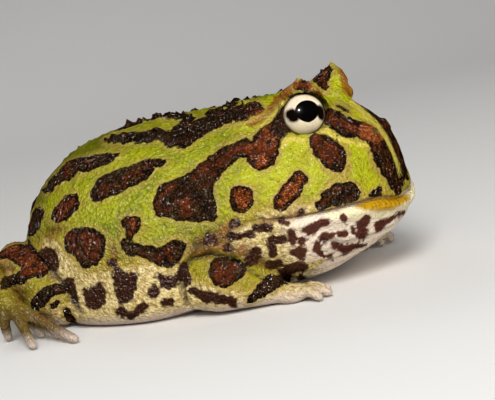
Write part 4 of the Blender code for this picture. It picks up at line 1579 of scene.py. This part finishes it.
tree.shader.inputs["Subsurface Weight"].default_value = 0.05
tree.shader.inputs["Subsurface Radius"].default_value = LIGHT_DEPTHS
tree.shader.inputs["Subsurface Scale"].default_value = 1.0
skin_mesh.materials.clear()
skin_mesh.materials.append(tree.material)
print("skin material:", len(tree.nodes), "nodes")

# %% [markdown]
# ## Eyes
#
# The iris is cream with fine flecks. A broad black pupil lies across it, drawn down to a point
# below, with a dark patch behind it and one in front, and a wet layer covers the whole. A disc
# set into the ball would need a seam, so the ball is one sphere. Every vertex gets its distances
# from the pupil, the iris's rim and the patches, and the material draws them.

# %% Eye material
IRIS_WOBBLE, IRIS_FLECKS = 900.0, 1400.0  # waves of noise a metre
EYE_COLOURS = {  # as on a screen, 0 to 255
    "iris": (232, 217, 188),
    "fleck": (200, 176, 136),
    "patch": (14, 6, 3),
    "iris edge": (110, 90, 64),
    "pupil": (5, 4, 4),
    "round the iris": (20, 14, 10),
}
eye_paint = {name: colour(*parts) for name, parts in EYE_COLOURS.items()}
tree = Tree("frog_eye")
place = tree.object_place()
wobble = tree.math("MULTIPLY_ADD", tree.noise(place, IRIS_WOBBLE, 2.0), 0.5, -0.25)
from_pupil = tree.attribute("pupil_edge")
from_rim = tree.attribute("iris_edge")
flecks = tree.fade(tree.noise(place, IRIS_FLECKS, 4.0), 0.45, 0.7)
iris = tree.lay(eye_paint["iris"], eye_paint["fleck"], flecks, 0.3)
patch = tree.fade(tree.math("ADD", tree.attribute("patch_edge"), wobble), 0.45, -0.4)
iris = tree.lay(iris, eye_paint["patch"], patch)
edge = tree.fade(tree.math("ADD", from_rim, wobble), -0.5, 0.0)
iris = tree.lay(iris, eye_paint["iris edge"], edge)
iris = tree.lay(iris, eye_paint["pupil"], tree.fade(from_pupil, 0.12, 0.0))
iris = tree.lay(iris, eye_paint["round the iris"], tree.fade(from_rim, -0.05, 0.15))
tree.put(tree.shader.inputs["Base Color"], iris)
tree.shader.inputs["Roughness"].default_value = 0.25
tree.shader.inputs["Specular IOR Level"].default_value = 0.1
tree.shader.inputs["Coat Weight"].default_value = 0.4
tree.shader.inputs["Coat Roughness"].default_value = 0.03
eye_material = tree.material
print("eye material:", len(tree.nodes), "nodes")

# %% Eye measures
EYE_RADIUS, IRIS_RADIUS = 5.9, 5.45
BALL_SEGMENTS, BALL_RINGS = 64, 40
PUPIL_SHIFT = (0.72, 0.64)  # forward and up from the eye's axis
PUPIL_SIZE = (3.2, 2.85)
PUPIL_POINT = 0.16  # how far the pupil's lower edge is drawn down to a point
POINT_MIDDLE = 0.35  # share of the pupil's width where that edge stays as it is
IRIS_PATCHES = (  # places and sizes of the dark patches behind and in front of the pupil
    ((-3.6, 0.5), (1.45, 1.45)),
    ((-3.1, -0.5), (1.5, 1.3)),
    ((4.1, 0.4), (1.4, 1.4)),
    ((4.4, -0.9), (1.1, 1.4)),
)
CORNEA_DIP = (0.12, 0.75, 0.25)  # depth of the dip round the cornea, and where it lies and ends
HIDDEN_SCALE = 10  # draws the back of the ball away from the pupil and the patches


def eye_distances(sideways, upright, ahead):
    """Millimetres from the patches, the pupil and the iris's rim, negative inside each."""
    if ahead < 0:
        sideways, upright = sideways * HIDDEN_SCALE, upright * HIDDEN_SCALE
    across = (sideways - PUPIL_SHIFT[0]) / PUPIL_SIZE[0]
    up = (upright - PUPIL_SHIFT[1]) / PUPIL_SIZE[1]
    if up < 0:
        up += PUPIL_POINT * up * (abs(across) - POINT_MIDDLE)
    from_pupil = (math.hypot(across, up) - 1) * PUPIL_SIZE[1]
    from_rim = math.hypot(sideways, upright) - IRIS_RADIUS if ahead > 0 else IRIS_RADIUS
    from_patch = min(
        (math.hypot((sideways - place[0]) / size[0], (upright - place[1]) / size[1]) - 1) * size[1]
        for place, size in IRIS_PATCHES
    )
    return from_patch, from_pupil, from_rim


# %% Eyes
EYE_UP = (0.05, 0, 1)


def eye_piece(name, side):
    low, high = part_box(name)
    axis = Vector((EYE_AXIS.x, side * EYE_AXIS.y, EYE_AXIS.z))
    up = (Vector(EYE_UP) - axis * axis.z).normalized()
    across = up.cross(axis) * -side
    ball = bmesh.new()
    bmesh.ops.create_uvsphere(
        ball, u_segments=BALL_SEGMENTS, v_segments=BALL_RINGS, radius=EYE_RADIUS * MM
    )
    ball.transform(axis.to_track_quat("Z", "Y").to_matrix().to_4x4())
    depth, dip_place, dip_reach = CORNEA_DIP
    rows = []
    for vert in ball.verts:
        ray = vert.co.normalized()
        ahead = ray.dot(axis)
        rows.append(eye_distances(vert.co.dot(across) / MM, vert.co.dot(up) / MM, ahead))
        vert.co -= ray * depth * MM * max(0.0, 1 - abs(ahead - dip_place) / dip_reach)
    ball.transform(Matrix.Translation((low + high) / 2))
    mesh = bpy.data.meshes.new(name)
    ball.to_mesh(mesh)
    ball.free()
    for attribute, values in zip(("patch_edge", "pupil_edge", "iris_edge"), zip(*rows)):
        add_attribute(mesh, attribute, values)
    for polygon in mesh.polygons:
        polygon.use_smooth = True
    mesh.materials.append(eye_material)
    obj = object_of(name + "_ball", mesh)
    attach(obj, "root")
    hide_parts(name)
    return obj


for name, side in (("eye_right", -1), ("eye_left", 1)):
    made = eye_piece(name, side)
    print(made.name, len(made.data.polygons), "faces")

# %% [markdown]
# ## Floor
#
# A plain, pale floor that bends up far behind the frog, so that no horizon shows. One curved grid
# does that without a seam between a floor and a wall. It's left out of wet reflections, which
# would turn the skin milky.

# %% Floor
FLOOR_SIDE, FLOOR_SQUARES = 3.0, 60
FLOOR_RISE_START = 0.45  # behind the frog, where the floor starts to bend up
FLOOR_RISE = 0.9
FLOOR_DROP = 0.0001  # below the frog's lowest point
FLOOR_COLOUR = (0.8, 0.78, 0.75, 1.0)
plane = bmesh.new()
bmesh.ops.create_grid(
    plane, x_segments=FLOOR_SQUARES, y_segments=FLOOR_SQUARES, size=FLOOR_SIDE / 2
)
mesh = bpy.data.meshes.new("floor")
away = -Vector((to_camera.x, to_camera.y, 0)).normalized()
for vert in plane.verts:
    beyond = max(0.0, vert.co.dot(away) - FLOOR_RISE_START)
    vert.co.z = FLOOR_RISE * beyond**2
plane.to_mesh(mesh)
plane.free()
for polygon in mesh.polygons:
    polygon.use_smooth = True
tree = Tree("pale_floor")
tree.shader.inputs["Base Color"].default_value = FLOOR_COLOUR
tree.shader.inputs["Roughness"].default_value = 0.8
mesh.materials.append(tree.material)
floor = object_of("floor", mesh)
floor.location.z = cad_box[0][2] - FLOOR_DROP
floor.visible_glossy = False
print("floor:", len(mesh.polygons), "faces")

# %% [markdown]
# ## Light
#
# Three broad lights give soft studio light: a key from the right, a fill from the front, and a
# faint one behind. Seen in wet skin they would be large, flat panes, so they are hidden there, and
# a fourth, small light makes the sharp glints alone.

# %% Lights
LIGHTS = {  # place, size, power, whether it lights dull skin, and whether it shows in wet skin
    "key": ((0.22, -0.52, 0.54), 0.3, 4.9, True, False),
    "fill": ((0.6, -0.3, 0.25), 0.5, 1.6, True, False),
    "back": ((-0.45, 0.35, 0.55), 0.3, 0.7, True, False),
    "glint": ((0.02, -0.6, 0.5), 0.05, 6.0, False, True),
}
LIT_PLACE = (0, 0, 20)
for name, (place, size, power, lights_dull, shows_in_wet) in LIGHTS.items():
    light_data = bpy.data.lights.new(name, "AREA")
    light_data.size = size
    light_data.energy = power
    light = bpy.data.objects.new(name, light_data)
    bpy.context.scene.collection.objects.link(light)
    light.location = place
    light.visible_diffuse = lights_dull
    light.visible_glossy = shows_in_wet
    towards = Vector(place) - world(LIT_PLACE)
    light.rotation_euler = towards.to_track_quat("Z", "Y").to_euler()
print("lights:", ", ".join(LIGHTS))

# %% Studio
STUDIO_COLOUR = (0.95, 0.97, 1.0, 1.0)
STUDIO_STRENGTH = 0.24
studio = bpy.data.worlds.new("studio")
studio.use_nodes = True
background = studio.node_tree.nodes["Background"]
background.inputs["Color"].default_value = STUDIO_COLOUR
background.inputs["Strength"].default_value = STUDIO_STRENGTH
bpy.context.scene.world = studio
studio.cycles_visibility.glossy = False
bpy.context.scene.view_settings.view_transform = "Standard"
print("studio light:", STUDIO_STRENGTH)
